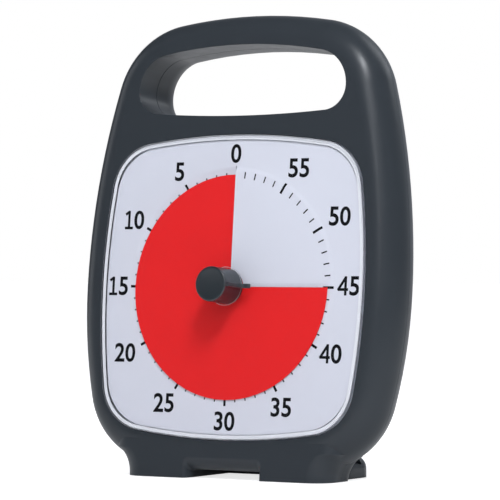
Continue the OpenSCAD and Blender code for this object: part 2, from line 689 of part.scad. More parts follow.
module circuit_board() color("#2f6b3c") upright() difference() {
    plate(board_y, board_y + board_t) translate(board_box[0]) square(board_box[1] - board_box[0]);
    for (p = board_pegs) rod(1, 0, far / 10, p);
}
module quartz_crystal() color("silver") upright() translate([-13, board_y - 1, 18]) rotate([0, 90, 0]) cylinder(r = 1, h = 6);
module driver_chip() color("#151618") upright() rod(3.4, board_y - 0.9, board_y, [4, 19]);
module board_screws() color("silver") upright() for (p = board_pegs) {
    rod(0.8, board_y - eps, inner_back + 0.5, p);
    rod(1.7, board_y - 0.9, board_y, p);
}

// ---------------------------------------------------------------- battery bay

module battery() color("#3f6fa8") upright() translate([0, cell_y, cell_z]) rotate([0, 90, 0]) {
    translate([0, 0, cell_front]) cylinder(r = cell_r, h = cell_len);
    translate([0, 0, cell_front - nub_len]) cylinder(r = nub_r, h = nub_len + eps);
}
contact_z = [cell_z - 5.6, cell_z + 5.6];
contact_y = [cell_y - 5.6, cell_y + 5.6];
module contact_plate() color("silver") upright() brick([-bay_x, -bay_x + contact_t], contact_y, contact_z);

// conical coil from the plate to the cell's flat end
coil_turns = 3.5;
wire_r = 0.4;
coil_start = cell_front + cell_len + wire_r;
coil_end = bay_x - contact_t - wire_r / 2;
function coil_centre(t) = let (r = 2.4 + 2.4 * t)
    [coil_start + (coil_end - coil_start) * t, cell_y + r * cos(360 * coil_turns * t), cell_z + r * sin(360 * coil_turns * t)];
module tube(path, r, sides = 6) {
    n = len(path) - 1;
    function ring(i) =
        let (d = path[min(i + 1, n)] - path[max(i - 1, 0)], f = d / norm(d),
             s = cross(f, abs(f[0]) < 0.9 ? [1, 0, 0] : [0, 1, 0]), u = s / norm(s), v = cross(f, u))
        [for (k = [0 : sides - 1]) path[i] + r * (cos(360 * k / sides) * u + sin(360 * k / sides) * v)];
    polyhedron([for (i = [0 : n]) each ring(i)], concat(
        [for (i = [0 : n - 1]) for (k = [0 : sides - 1]) let (a = i * sides + k, b = i * sides + (k + 1) % sides)
            each [[a, b + sides, b], [a, a + sides, b + sides]]],
        [for (k = [1 : sides - 2]) each [[0, k, k + 1], [n * sides, n * sides + k + 1, n * sides + k]]]));
}
module contact_spring() color("silver") upright() {
    brick([bay_x - contact_t, bay_x], contact_y, contact_z);
    tube([for (i = [0 : 56]) coil_centre(i / 56)], wire_r);
}

module battery_door() color(charcoal) upright() {
    brick([free_gap - bay_x, bay_x - free_gap], [body_depth - door_t, body_depth], [door_pivot[1], door_top]);
    translate([free_gap - bay_x, door_pivot[0], door_pivot[1]]) rotate([0, 90, 0])
        cylinder(r = door_r, h = 2 * (bay_x - free_gap));
    translate([-bay_x - pin_len + slip_gap, door_pivot[0], door_pivot[1]]) rotate([0, 90, 0])
        cylinder(r = pin_r, h = 2 * (bay_x + pin_len - slip_gap));
    brick([-latch[0] / 2, latch[0] / 2], [body_depth - door_t - latch[1], body_depth - door_t + eps],
        [tongue_z, tongue_z + latch[2]]);
}

// ---------------------------------------------------------------- alarm

module speaker_frame() color("#6d7278") upright() difference() {
    union() {
        rod(speaker_d / 2, speaker_back() - 2, speaker_back(), speaker_at);
        rod(speaker_d / 2 - 3, speaker_back() - speaker_depth, speaker_back() - 2 + eps, speaker_at);
    }
    rod(speaker_d / 2 - 1.6, speaker_back() - 1, speaker_back() + 1, speaker_at);
    rod(speaker_d / 2 - 4, speaker_back() - speaker_depth + 1.2, speaker_back() + 1, speaker_at);
}
module speaker_cone() color("#1d1e20") upright() translate([speaker_at[0], speaker_back(), speaker_at[1]])
    turned() polygon([[0, -2.4], [2.8, -2.4], [3.6, -1.6], [speaker_d / 2 - 4.6, -0.8], [speaker_d / 2 - 1.8, -0.8],
        [speaker_d / 2 - 1.8, -0.4], [speaker_d / 2 - 4.6, -0.4], [3.2, -1.2], [0, -1.9]]);
module volume_pot() color("#2a4f7a") upright() difference() {
    translate([volume_at[0], 0, volume_at[1]]) plate(pot_back - pot_t, pot_back) square(pot_w, center = true);
    rod(volume_shaft_r + run_gap, 0, far, volume_at);
}
module volume_dial() color(deep_grey) upright() {
    difference() {
        rod(volume_d / 2, dial_recess + slip_gap, body_depth + 0.6, volume_at);
        for (i = [0 : 17]) rod(0.5, dial_recess, far / 4, volume_at + polar(volume_d / 2, 20 * i));
    }
    rod(volume_shaft_r, pot_back - pot_t + 0.5, dial_recess + slip_gap + eps, volume_at);
    translate([volume_at[0], 0, volume_at[1]])
        brick([-1.2, 1.2], [body_depth, body_depth + 2], [-volume_d / 2 + 1.4, volume_d / 2 - 1.4]);
}

front_housing();
rear_housing();
lens();
dial_plate();
dial_carrier();
carrier_screws();
time_disc();
disc_strip();
disc_hub();
knob();
spindle();
centre_wheel();
clutch_washer();
bushing_nut();
movement_front();
movement_rear();
third_wheel();
fourth_wheel();
rotor();
stator();
coil();
circuit_board();
quartz_crystal();
driver_chip();
board_screws();
battery();
contact_plate();
contact_spring();
battery_door();
speaker_frame();
speaker_cone();
volume_dial();
volume_pot();
case_screws();
foot_pads();
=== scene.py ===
"""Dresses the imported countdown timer: smooth shells, clear lens, printed dial, knob and finishes.

Shapes are made in the face frame, in millimetres: x to the right, y the depth behind the printed
face, z up the face, with the knob's axis at x = z = 0. Each is turned into metres in the row frame
when it becomes a piece.
"""
from __future__ import annotations

import json
import logging
import math
from dataclasses import dataclass, field
from enum import Enum
from typing import Callable, Iterable, Sequence

import bmesh
import bpy
from mathutils import Matrix, Vector

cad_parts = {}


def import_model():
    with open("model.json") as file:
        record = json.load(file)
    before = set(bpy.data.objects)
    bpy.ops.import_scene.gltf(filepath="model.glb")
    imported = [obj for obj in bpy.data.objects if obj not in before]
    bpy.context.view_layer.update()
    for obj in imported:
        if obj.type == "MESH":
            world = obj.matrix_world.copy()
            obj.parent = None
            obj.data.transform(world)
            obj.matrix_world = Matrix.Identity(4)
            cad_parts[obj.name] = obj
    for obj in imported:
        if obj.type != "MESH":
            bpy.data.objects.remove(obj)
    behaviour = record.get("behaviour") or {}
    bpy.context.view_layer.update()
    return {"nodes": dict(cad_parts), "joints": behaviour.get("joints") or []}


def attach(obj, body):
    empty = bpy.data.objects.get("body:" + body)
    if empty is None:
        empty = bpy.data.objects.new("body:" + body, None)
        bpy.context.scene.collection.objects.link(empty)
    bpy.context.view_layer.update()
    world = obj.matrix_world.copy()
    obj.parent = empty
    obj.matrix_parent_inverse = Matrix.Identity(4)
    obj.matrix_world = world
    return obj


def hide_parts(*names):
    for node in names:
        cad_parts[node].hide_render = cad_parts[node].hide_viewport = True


LOG = logging.getLogger("timer")
MM = 0.001
FAR = 200.0  # beyond every surface
BEYOND = 5.0  # how far a cutting form stands out of the surface
HAIR = 0.02  # keeps two surfaces from coinciding
WELD = 1e-4  # points nearer than this become one
CAP_INSETS = (2.0, 0.5)  # rings that keep a cap flat beside its rounding
UPRIGHT = Matrix.Rotation(math.pi / 2, 4, "X")
DEPTH_FROM_HEIGHT = Matrix(((1, 0, 0, 0), (0, 0, 1, 0), (0, 1, 0, 0), (0, 0, 0, 1)))


class Combine(Enum):
    """Ways in which two solids are combined."""

    JOIN = "UNION"
    CUT = "DIFFERENCE"
    KEEP = "INTERSECT"


class Body(Enum):
    """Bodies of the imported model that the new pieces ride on."""

    CASE = "body"
    KNOB = "knob_set"


@dataclass(frozen=True)
class FaceFrame:
    """Place of the dial: a point on the knob's axis and the direction toward the viewer."""

    origin: Vector
    normal: Vector

    @classmethod
    def from_joints(cls, joints: Iterable[dict]) -> "FaceFrame":
        """Reads the frame from the knob's hinge.

        Args:
            joints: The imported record's joints.

        Returns:
            The dial's frame.
        """
        knob = next(joint for joint in joints if joint["name"] == "knob_turn")
        return cls(Vector(knob["pos_m"]), Vector(knob["axis"]).normalized())

    @property
    def to_row(self) -> Matrix:
        """Matrix from face millimetres to metres in the row frame.

        Returns:
            The matrix.
        """
        right = Vector((1, 0, 0))
        back = -self.normal
        turn = Matrix((right, back, right.cross(back))).transposed().to_4x4()
        return Matrix.Translation(self.origin) @ turn @ Matrix.Scale(MM, 4)

    @property
    def from_table(self) -> Matrix:
        """Matrix from millimetres above the table to face millimetres."""
        return self.to_row.inverted() @ Matrix.Scale(MM, 4)

    @property
    def tilt(self) -> float:
        """Backward lean of the face in radians."""
        return math.asin(self.normal.z)


class Pen:
    """Draws a wire in a bmesh, piece by piece, in a plane of constant height."""

    def __init__(self, bm: bmesh.types.BMesh, x: float, y: float, height: float) -> None:
        """Starts a wire.

        Args:
            bm: Mesh to draw in.
            x: Start across.
            y: Start along.
            height: Height of the plane.
        """
        layers = bm.edges.layers.int
        self.bm = bm
        self.height = height
        self.done = layers.get("done") or layers.new("done")
        self.tip = bm.verts.new((x, y, height))

    def line(self, x: float, y: float) -> "Pen":
        """Draws a straight line.

        Args:
            x: End across.
            y: End along.

        Returns:
            The pen.
        """
        made = bmesh.ops.extrude_vert_indiv(self.bm, verts=[self.tip])
        self.tip = made["verts"][0]
        bmesh.ops.translate(self.bm, verts=[self.tip], vec=Vector((x, y, self.height)) - self.tip.co)
        return self

    def arc(self, x: float, y: float, degrees: float, steps: int) -> "Pen":
        """Draws an arc about a centre.

        Args:
            x: Centre across.
            y: Centre along.
            degrees: Sweep, counter-clockwise.
            steps: Number of edges.

        Returns:
            The pen.
        """
        made = bmesh.ops.spin(self.bm, geom=[self.tip], cent=(x, y, self.height), axis=(0, 0, 1),
                              angle=math.radians(degrees), steps=steps, use_merge=False, use_duplicate=False)
        self.tip = next(g for g in made["geom_last"] if isinstance(g, bmesh.types.BMVert))
        return self

    def mirrored(self) -> list[bmesh.types.BMEdge]:
        """Mirrors the wire left to right.

        Returns:
            The edges of both halves.
        """
        drawn = [edge for edge in self.bm.edges if not edge[self.done]]
        verts = {vert for edge in drawn for vert in edge.verts}
        bmesh.ops.mirror(self.bm, geom=[*verts, *drawn], matrix=Matrix.Identity(4), merge_dist=WELD, axis="X")
        drawn = [edge for edge in self.bm.edges if not edge[self.done]]
        for edge in drawn:
            edge[self.done] = 1
        return drawn


def tangent_centre(c1: Vector, r1: float, c2: Vector, r2: float, r: float, side: int) -> Vector:
    """Finds the centre of a corner arc that touches two larger arcs from inside.

    Args:
        c1: Centre of the first arc.
        r1: Its radius.
        c2: Centre of the second arc.
        r2: Its radius.
        r: Radius of the corner.
        side: 1 or -1, the side of the line between the centres.

    Returns:
        The corner's centre.
    """
    a, b, d = r1 - r, r2 - r, (c2 - c1).length
    along = (a * a - b * b + d * d) / (2 * d)
    across = math.sqrt(a * a - along * along)
    u = (c2 - c1) / d
    return c1 + u * along + Vector((-u.y, u.x)) * across * side


def turns(steps: int, degrees: float = 90.0) -> list[float]:
    """Angles in radians from nothing to an angle, in even steps."""
    return [math.radians(degrees) * i / steps for i in range(steps + 1)]


def mesh_of(name: str, bm: bmesh.types.BMesh) -> bpy.types.Mesh:
    """Writes a bmesh to a new mesh.

    Args:
        name: Name of the mesh.
        bm: The bmesh, which is freed.

    Returns:
        The mesh.
    """
    mesh = bpy.data.meshes.new(name)
    bm.to_mesh(mesh)
    bm.free()
    return mesh


def in_scene(name: str, data: bpy.types.ID) -> bpy.types.Object:
    """Puts data into the scene.

    Args:
        name: Name of the object.
        data: Its mesh, curve, lamp or camera.

    Returns:
        The object.
    """
    made = bpy.data.objects.new(name, data)
    bpy.context.scene.collection.objects.link(made)
    return made


def append(bm: bmesh.types.BMesh, other: bmesh.types.BMesh) -> None:
    """Adds one bmesh to another, by way of a passing mesh.

    Args:
        bm: The bmesh that grows.
        other: The bmesh that is added and freed.
    """
    passing = mesh_of("passing", other)
    bm.from_mesh(passing)
    bpy.data.meshes.remove(passing)


def bearing(centre: Vector, point: Vector) -> float:
    """Angle in degrees of a point about a centre."""
    return math.degrees(math.atan2(point.y - centre.y, point.x - centre.x))


@dataclass(frozen=True)
class Outline:
    """A closed outline of tangent arcs, the same left and right."""

    half: float
    top: float
    bottom: float
    side_above: float
    side_below: float
    top_radius: float
    bottom_radius: float
    upper_corner: float
    lower_corner: float
    rise: float = 0.0
    step: float = 3.0
    chord: float = 7.0

    def arcs(self) -> list[tuple[Vector, float, int]]:
        """Works out the arcs of the right half, upward.

        Returns:
            Centre, sweep in degrees and number of edges of each arc.
        """
        above = Vector((self.half - self.side_above, self.rise))
        below = Vector((self.half - self.side_below, self.rise))
        top = Vector((0, self.rise + self.top - self.top_radius))
        low = Vector((0, self.rise + self.bottom + self.bottom_radius))
        upper = tangent_centre(above, self.side_above, top, self.top_radius, self.upper_corner, 1)
        lower = tangent_centre(below, self.side_below, low, self.bottom_radius, self.lower_corner, -1)
        arcs = ((low, self.bottom_radius, -90, bearing(low, lower)),
                (lower, self.lower_corner, bearing(low, lower), bearing(below, lower)),
                (below, self.side_below, bearing(below, lower), 0),
                (above, self.side_above, 0, bearing(above, upper)),
                (upper, self.upper_corner, bearing(above, upper), bearing(top, upper)),
                (top, self.top_radius, bearing(top, upper), 90))
        return [(centre, end - start, self.edges(radius, end - start)) for centre, radius, start, end in arcs]

    def edges(self, radius: float, sweep: float) -> int:
        """Number of edges that draw an arc finely enough."""
        return math.ceil(max(1, sweep / self.step, radius * math.radians(sweep) / self.chord))

    def draw(self, bm: bmesh.types.BMesh, height: float, grow: float) -> list[bmesh.types.BMEdge]:
        """Draws the outline.

        Args:
            bm: Mesh to draw in.
            height: Height of its plane.
            grow: Distance by which the outline is larger all round.

        Returns:
            The outline's edges.
        """
        pen = Pen(bm, 0, self.rise + self.bottom - grow, height)
        for centre, sweep, steps in self.arcs():
            pen.arc(centre.x, centre.y, sweep, steps)
        return pen.mirrored()

    def circle(self, bm: bmesh.types.BMesh, height: float, radius: float) -> list[bmesh.types.BMEdge]:
        """Draws a circle with as many edges as the outline has.

        Args:
            bm: Mesh to draw in.
            height: Height of its plane.
            radius: Its radius.

        Returns:
            The circle's edges.
        """
        return Pen(bm, 0, -radius, height).arc(0, 0, 180, sum(arc[2] for arc in self.arcs())).mirrored()


def squircle(half: float, side: float = 264.0, corner: float = 19.0) -> Outline:
    """The window's outline: four bowed sides of equal reach."""
    return Outline(half, half, -half, side, side, side, side, corner, corner)


@dataclass(frozen=True)
class Plan:
    """A rectangle with round corners, seen from above."""

    half: float
    front: float
    back: float
    corner: float
    steps: int = 12

    def draw(self, bm: bmesh.types.BMesh, height: float, grow: float,
             spread: float = 0.0) -> list[bmesh.types.BMEdge]:
        """Draws the outline.

        Args:
            bm: Mesh to draw in.
            height: Height of its plane.
            grow: Distance by which the outline is larger all round.
            spread: Distance by which the sides alone stand further out.

        Returns:
            The outline's edges.
        """
        inner = self.half + spread - self.corner
        pen = Pen(bm, 0, self.front - grow, height).line(inner, self.front - grow)
        pen.arc(inner, self.front + self.corner, 90, self.steps)
        pen.line(inner + self.corner + grow, self.back - self.corner)
        pen.arc(inner, self.back - self.corner, 90, self.steps)
        return pen.line(0, self.back + grow).mirrored()


class Solid:
    """A closed form in the face frame, shaped with other forms."""

    def __init__(self, bm: bmesh.types.BMesh) -> None:
        """Takes over a mesh.

        Args:
            bm: Closed mesh in face millimetres.
        """
        self.bm = bm

    @classmethod
    def lofted(cls, draw: Callable[..., list[bmesh.types.BMEdge]], rings: Iterable[tuple], place: Matrix,
               finishes: Sequence[int] | None = None) -> "Solid":
        """Bridges a row of outlines, which stand well apart while they are joined.

        Args:
            draw: Draws one outline in a mesh, from the values of its ring.
            rings: Values of each ring.
            place: Matrix from the drawing plane to the face frame.
            finishes: Finish of the strip after each ring, for a form whose last ring meets its
                first; without it both ends are closed with a cap.

        Returns:
            The closed form.
        """
        bm = bmesh.new()
        loops = [draw(bm, *ring) for ring in rings]
        steps = [(list({vert for edge in loop for vert in edge.verts}), Vector((0, 0, FAR * index)))
                 for index, loop in enumerate(loops)]
        for verts, step in steps:
            bmesh.ops.translate(bm, verts=verts, vec=step)
        for index, (low, high) in enumerate(zip(loops, loops[1:] + loops[:1] if finishes else loops[1:])):
            for polygon in bmesh.ops.bridge_loops(bm, edges=list(low) + list(high))["faces"]:
                polygon.material_index = finishes[index] if finishes else 0
        for verts, step in steps:
            bmesh.ops.translate(bm, verts=verts, vec=-step)
        if not finishes:
            for end in (loops[0], loops[-1]):
                bmesh.ops.contextual_create(bm, geom=list(end))
        bmesh.ops.transform(bm, matrix=place, verts=bm.verts)
        bmesh.ops.recalc_face_normals(bm, faces=bm.faces)
        return cls(bm)

    @classmethod
    def stacked(cls, outline: Outline, rings: Iterable[tuple[float, float]]) -> "Solid":
        """Lofts one outline through pairs of depth and growth behind the face."""
        return cls.lofted(outline.draw, rings, DEPTH_FROM_HEIGHT)

    @classmethod
    def rods(cls, radius: float, start: float, end: float, places: Iterable[tuple[float, float]],
             sides: int = 48) -> "Solid":
        """Makes one or more cylinders along the depth.

        Args:
            radius: Radius of each cylinder.
            start: Depth of the near end.
            end: Depth of the far end.
            places: Points across and up the face.
            sides: Sides of each cylinder.

        Returns:
            The cylinders as one form.
        """
        bm = bmesh.new()
        turn = Matrix.Rotation(-math.pi / 2, 4, "X")
        for x, z in places:
            place = Matrix.Translation((x, (start + end) / 2, z)) @ turn
            bmesh.ops.create_cone(bm, cap_ends=True, cap_tris=False, segments=sides, radius1=radius,
                                  radius2=radius, depth=end - start, matrix=place)
        return cls(bm)

    @classmethod
    def brick(cls, x: tuple[float, float], y: tuple[float, float], z: tuple[float, float]) -> "Solid":
        """Makes a block.

        Args:
            x: Its two ends across.
            y: Its two ends in depth.
            z: Its two ends up the face.

        Returns:
            The block.
        """
        bm = bmesh.new()
        centre = Vector((sum(x), sum(y), sum(z))) / 2
        size = Matrix.Diagonal((x[1] - x[0], y[1] - y[0], z[1] - z[0], 1))
        bmesh.ops.create_cube(bm, size=1.0, matrix=Matrix.Translation(centre) @ size)
        return cls(bm)

    @classmethod
    def thickened(cls, bm: bmesh.types.BMesh, step: tuple[float, float, float]) -> "Solid":
        """Gives flat faces a thickness.

        Args:
            bm: Mesh with the faces, which is taken over.
            step: The way from each face to its far side.

        Returns:
            The closed form.
        """
        made = bmesh.ops.extrude_face_region(bm, geom=bm.faces[:], use_keep_orig=True)
        verts = [g for g in made["geom"] if isinstance(g, bmesh.types.BMVert)]
        bmesh.ops.translate(bm, verts=verts, vec=step)
        bmesh.ops.recalc_face_normals(bm, faces=bm.faces)
        return cls(bm)

    def moved(self, matrix: Matrix) -> "Solid":
        """Moves the form and returns it."""
        bmesh.ops.transform(self.bm, matrix=matrix, verts=self.bm.verts)
        return self

    def copy(self) -> "Solid":
        """Returns a separate copy of the form."""
        return Solid(self.bm.copy())

    def rounded(self, width: float, angle: float, segments: int) -> "Solid":
        """Rounds the sharp edges.

        Args:
            width: Width of the rounding.
            angle: Angle in degrees from which an edge is sharp.
            segments: Number of steps across the rounding.

        Returns:
            This form.
        """
        edges = [e for e in self.bm.edges if e.is_manifold and e.calc_face_angle(0.0) > math.radians(angle)]
        bmesh.ops.bevel(self.bm, geom=edges, offset=width, affect="EDGES", segments=segments, profile=0.5,
                        material=-1, clamp_overlap=True)
        return self

    def combine(self, other: "Solid", how: Combine) -> "Solid":
        """Combines the form with another one, which is used up.

        Args:
            other: The second form.
            how: Join, cut or keep.

        Returns:
            This form.
        """
        pair = [in_scene(name, mesh_of(name, s.bm)) for name, s in (("base", self), ("tool", other))]
        modifier = pair[0].modifiers.new("combine", "BOOLEAN")
        modifier.operation = how.value
        modifier.solver = "MANIFOLD"
        modifier.object = pair[1]
        depsgraph = bpy.context.evaluated_depsgraph_get()
        mesh = bpy.data.meshes.new_from_object(pair[0].evaluated_get(depsgraph))
        self.bm = bmesh.new()
        self.bm.from_mesh(mesh)
        for item in pair:
            data = item.data
            bpy.data.objects.remove(item)
            bpy.data.meshes.remove(data)
        bpy.data.meshes.remove(mesh)
        return self

    def join(self, other: "Solid") -> "Solid":
        """Adds another form."""
        return self.combine(other, Combine.JOIN)

    def cut(self, other: "Solid") -> "Solid":
        """Takes another form away."""
        return self.combine(other, Combine.CUT)

    def keep(self, other: "Solid") -> "Solid":
        """Keeps what lies inside another form."""
        return self.combine(other, Combine.KEEP)

    def piece(self, name: str, face: FaceFrame, materials: Sequence[bpy.types.Material],
              sharp: float = 32.0) -> bpy.types.Object:
        """Turns the form into an object of the scene, in metres in the row frame.

        Args:
            name: Name of the piece.
            face: The dial's frame.
            materials: Finishes of the piece.
            sharp: Angle in degrees from which an edge stays sharp.

        Returns:
            The object.
        """
        bm = self.bm
        bmesh.ops.remove_doubles(bm, verts=bm.verts, dist=WELD)
        bm.normal_update()
        for edge in bm.edges:
            edge.smooth = edge.is_manifold and edge.calc_face_angle(0.0) < math.radians(sharp)
        for polygon in bm.faces:
            polygon.smooth = True
        bmesh.ops.transform(bm, matrix=face.to_row, verts=bm.verts)
        mesh = mesh_of(name, bm)
        for material in materials:
            mesh.materials.append(material)
        made = in_scene(name, mesh)
        normals = made.modifiers.new("normals", "WEIGHTED_NORMAL")
        normals.keep_sharp = True
        normals.weight = 80
        LOG.info("%s: %d faces", name, len(mesh.polygons))
        return made


# ---------------------------------------------------------------- finishes


class Graph:
    """Adds and joins the nodes of one node tree."""

    def __init__(self, tree: bpy.types.NodeTree) -> None:
        """Takes over a node tree."""
        self.tree = tree

    def add(self, kind: str, **inputs: object) -> bpy.types.Node:
        """Adds a node and sets or links its inputs.

        Args:
            kind: Node type.
            **inputs: Values or sockets, by input name with underscores for spaces; names that
                start with set_ are properties of the node.

        Returns:
            The node.
        """
        made = self.tree.nodes.new(kind)
        for key, value in inputs.items():
            if key.startswith("set_"):
                setattr(made, key[4:], value)
                continue
            numbered = key.startswith("in") and key[2:].isdigit()
            socket = made.inputs[int(key[2:]) if numbered else key.replace("_", " ")]
            if isinstance(value, bpy.types.NodeSocket):
                self.tree.links.new(value, socket)
            else:
                socket.default_value = value
        return made

    def calc(self, operation: str, *values: object, clamp: bool = False) -> bpy.types.NodeSocket:
        """Adds a math node over sockets or numbers and returns its result."""
        inputs = {f"in{index}": value for index, value in enumerate(values)}
        return self.add("ShaderNodeMath", set_operation=operation, set_use_clamp=clamp, **inputs).outputs[0]


class Surface(Graph):
    """The nodes of one material."""

    def __init__(self, name: str) -> None:
        """Starts a material.

        Args:
            name: Name of the material.
        """
        self.material = bpy.data.materials.new(name)
        self.material.use_nodes = True
        super().__init__(self.material.node_tree)
        self.shader = self.tree.nodes["Principled BSDF"]
        self.output = self.tree.nodes["Material Output"]
        self.place = self.add("ShaderNodeTexCoord").outputs["Object"]

    def noise(self, size_mm: float, detail: float = 3.0) -> bpy.types.NodeSocket:
        """Adds a noise pattern.

        Args:
            size_mm: Rough size of its features.
            detail: How many finer layers it has.

        Returns:
            The pattern.
        """
        made = self.add("ShaderNodeTexNoise", Vector=self.place, Scale=1000.0 / size_mm, Detail=detail,
                        Roughness=0.55)
        return made.outputs["Fac"]

    def spread(self, value: bpy.types.NodeSocket, low: float, high: float) -> bpy.types.NodeSocket:
        """Maps a pattern's middle range to a range of values.

        Args:
            value: The pattern.
            low: Lowest value.
            high: Highest value.

        Returns:
            The mapped pattern.
        """
        made = self.add("ShaderNodeMapRange", Value=value, From_Min=0.3, From_Max=0.7, To_Min=low,
                        To_Max=high)
        return made.outputs["Result"]

    def between(self, value: bpy.types.NodeSocket, first: Sequence[float],
                second: Sequence[float]) -> bpy.types.NodeSocket:
        """Mixes two colours by a pattern.

        Args:
            value: The pattern.
            first: Colour where it is 0.
            second: Colour where it is 1.

        Returns:
            The mixed colour.
        """
        made = self.add("ShaderNodeMix", set_data_type="RGBA", Factor=value)
        made.inputs[6].default_value = (*first, 1.0)
        made.inputs[7].default_value = (*second, 1.0)
        return made.outputs[2]

    def mottled(self, base: Sequence[float], share: float, size_mm: float) -> None:
        """Varies a base colour in patches, by a share of itself each way."""
        light = [min(1, c * (1 + share)) for c in base]
        self.link(self.between(self.noise(size_mm), [c * (1 - share) for c in base], light), "Base Color")

    def link(self, source: bpy.types.NodeSocket, name: str) -> None:
        """Links a pattern to an input of the shader."""
        self.tree.links.new(source, self.shader.inputs[name])

    def set(self, **values: float) -> None:
        """Sets inputs of the shader, by input name with underscores for spaces."""
        for name, value in values.items():
            self.shader.inputs[name.replace("_", " ")].default_value = value

    def relief(self, value: bpy.types.NodeSocket, height_mm: float) -> None:
        """Raises the surface by a pattern."""
        made = self.add("ShaderNodeBump", Height=value, Distance=height_mm * MM, Strength=1.0)
        self.link(made.outputs["Normal"], "Normal")


def linear(red: float, green: float, blue: float) -> tuple[float, float, float]:
    """Converts a colour written as 0 to 255 to the renderer's scale."""
    return tuple(c / 3294.6 if c <= 10 else ((c / 255 + 0.055) / 1.055) ** 2.4 for c in (red, green, blue))


@dataclass(frozen=True)
class Moulded:
    """Moulded plastic, printed sheet, rubber or plated metal with a fine surface."""

    name: str
    colour: tuple[float, float, float]
    roughness: float = 0.45
    specular: float = 0.35
    metallic: float = 0.0
    mottling: float = 0.04
    patch_mm: float = 14.0
    grain_mm: float = 0.35
    grain_height: float = 0.004
    coat: float = 0.0

    def material(self) -> bpy.types.Material:
        """Builds the material.

        Returns:
            The material.
        """
        graph = Surface(self.name)
        graph.mottled(linear(*self.colour), self.mottling, self.patch_mm)
        patches = graph.noise(self.patch_mm / 3)
        graph.link(graph.spread(patches, self.roughness - 0.03, self.roughness + 0.03), "Roughness")
        graph.relief(graph.noise(self.grain_mm, 2.0), self.grain_height)
        graph.set(Metallic=self.metallic, Specular_IOR_Level=self.specular, Coat_Weight=self.coat,
                  Coat_Roughness=0.12)
        return graph.material


@dataclass(frozen=True)
class Clear:
    """Clear plastic: little of its own colour seen straight on, more at a low angle."""

    name: str
    body: tuple[float, float, float] = (226, 229, 238)
    haze: float = 0.01
    gloss: float = 0.5
    roughness: float = 0.06

    def material(self) -> bpy.types.Material:
        """Builds the material.

        Returns:
            The material.
        """
        graph = Surface(self.name)
        graph.mottled(linear(*self.body), 0.015, 9.0)
        lowest = max(0.0, self.roughness - 0.02)
        graph.link(graph.spread(graph.noise(6.0), lowest, self.roughness + 0.02), "Roughness")
        graph.relief(graph.noise(5.0), 0.001)
        facing = graph.add("ShaderNodeLayerWeight", Blend=0.5).outputs["Facing"]
        low = graph.calc("POWER", facing, 5.0)
        graph.link(graph.calc("MULTIPLY_ADD", low, self.gloss, self.haze, clamp=True), "Alpha")
        return graph.material


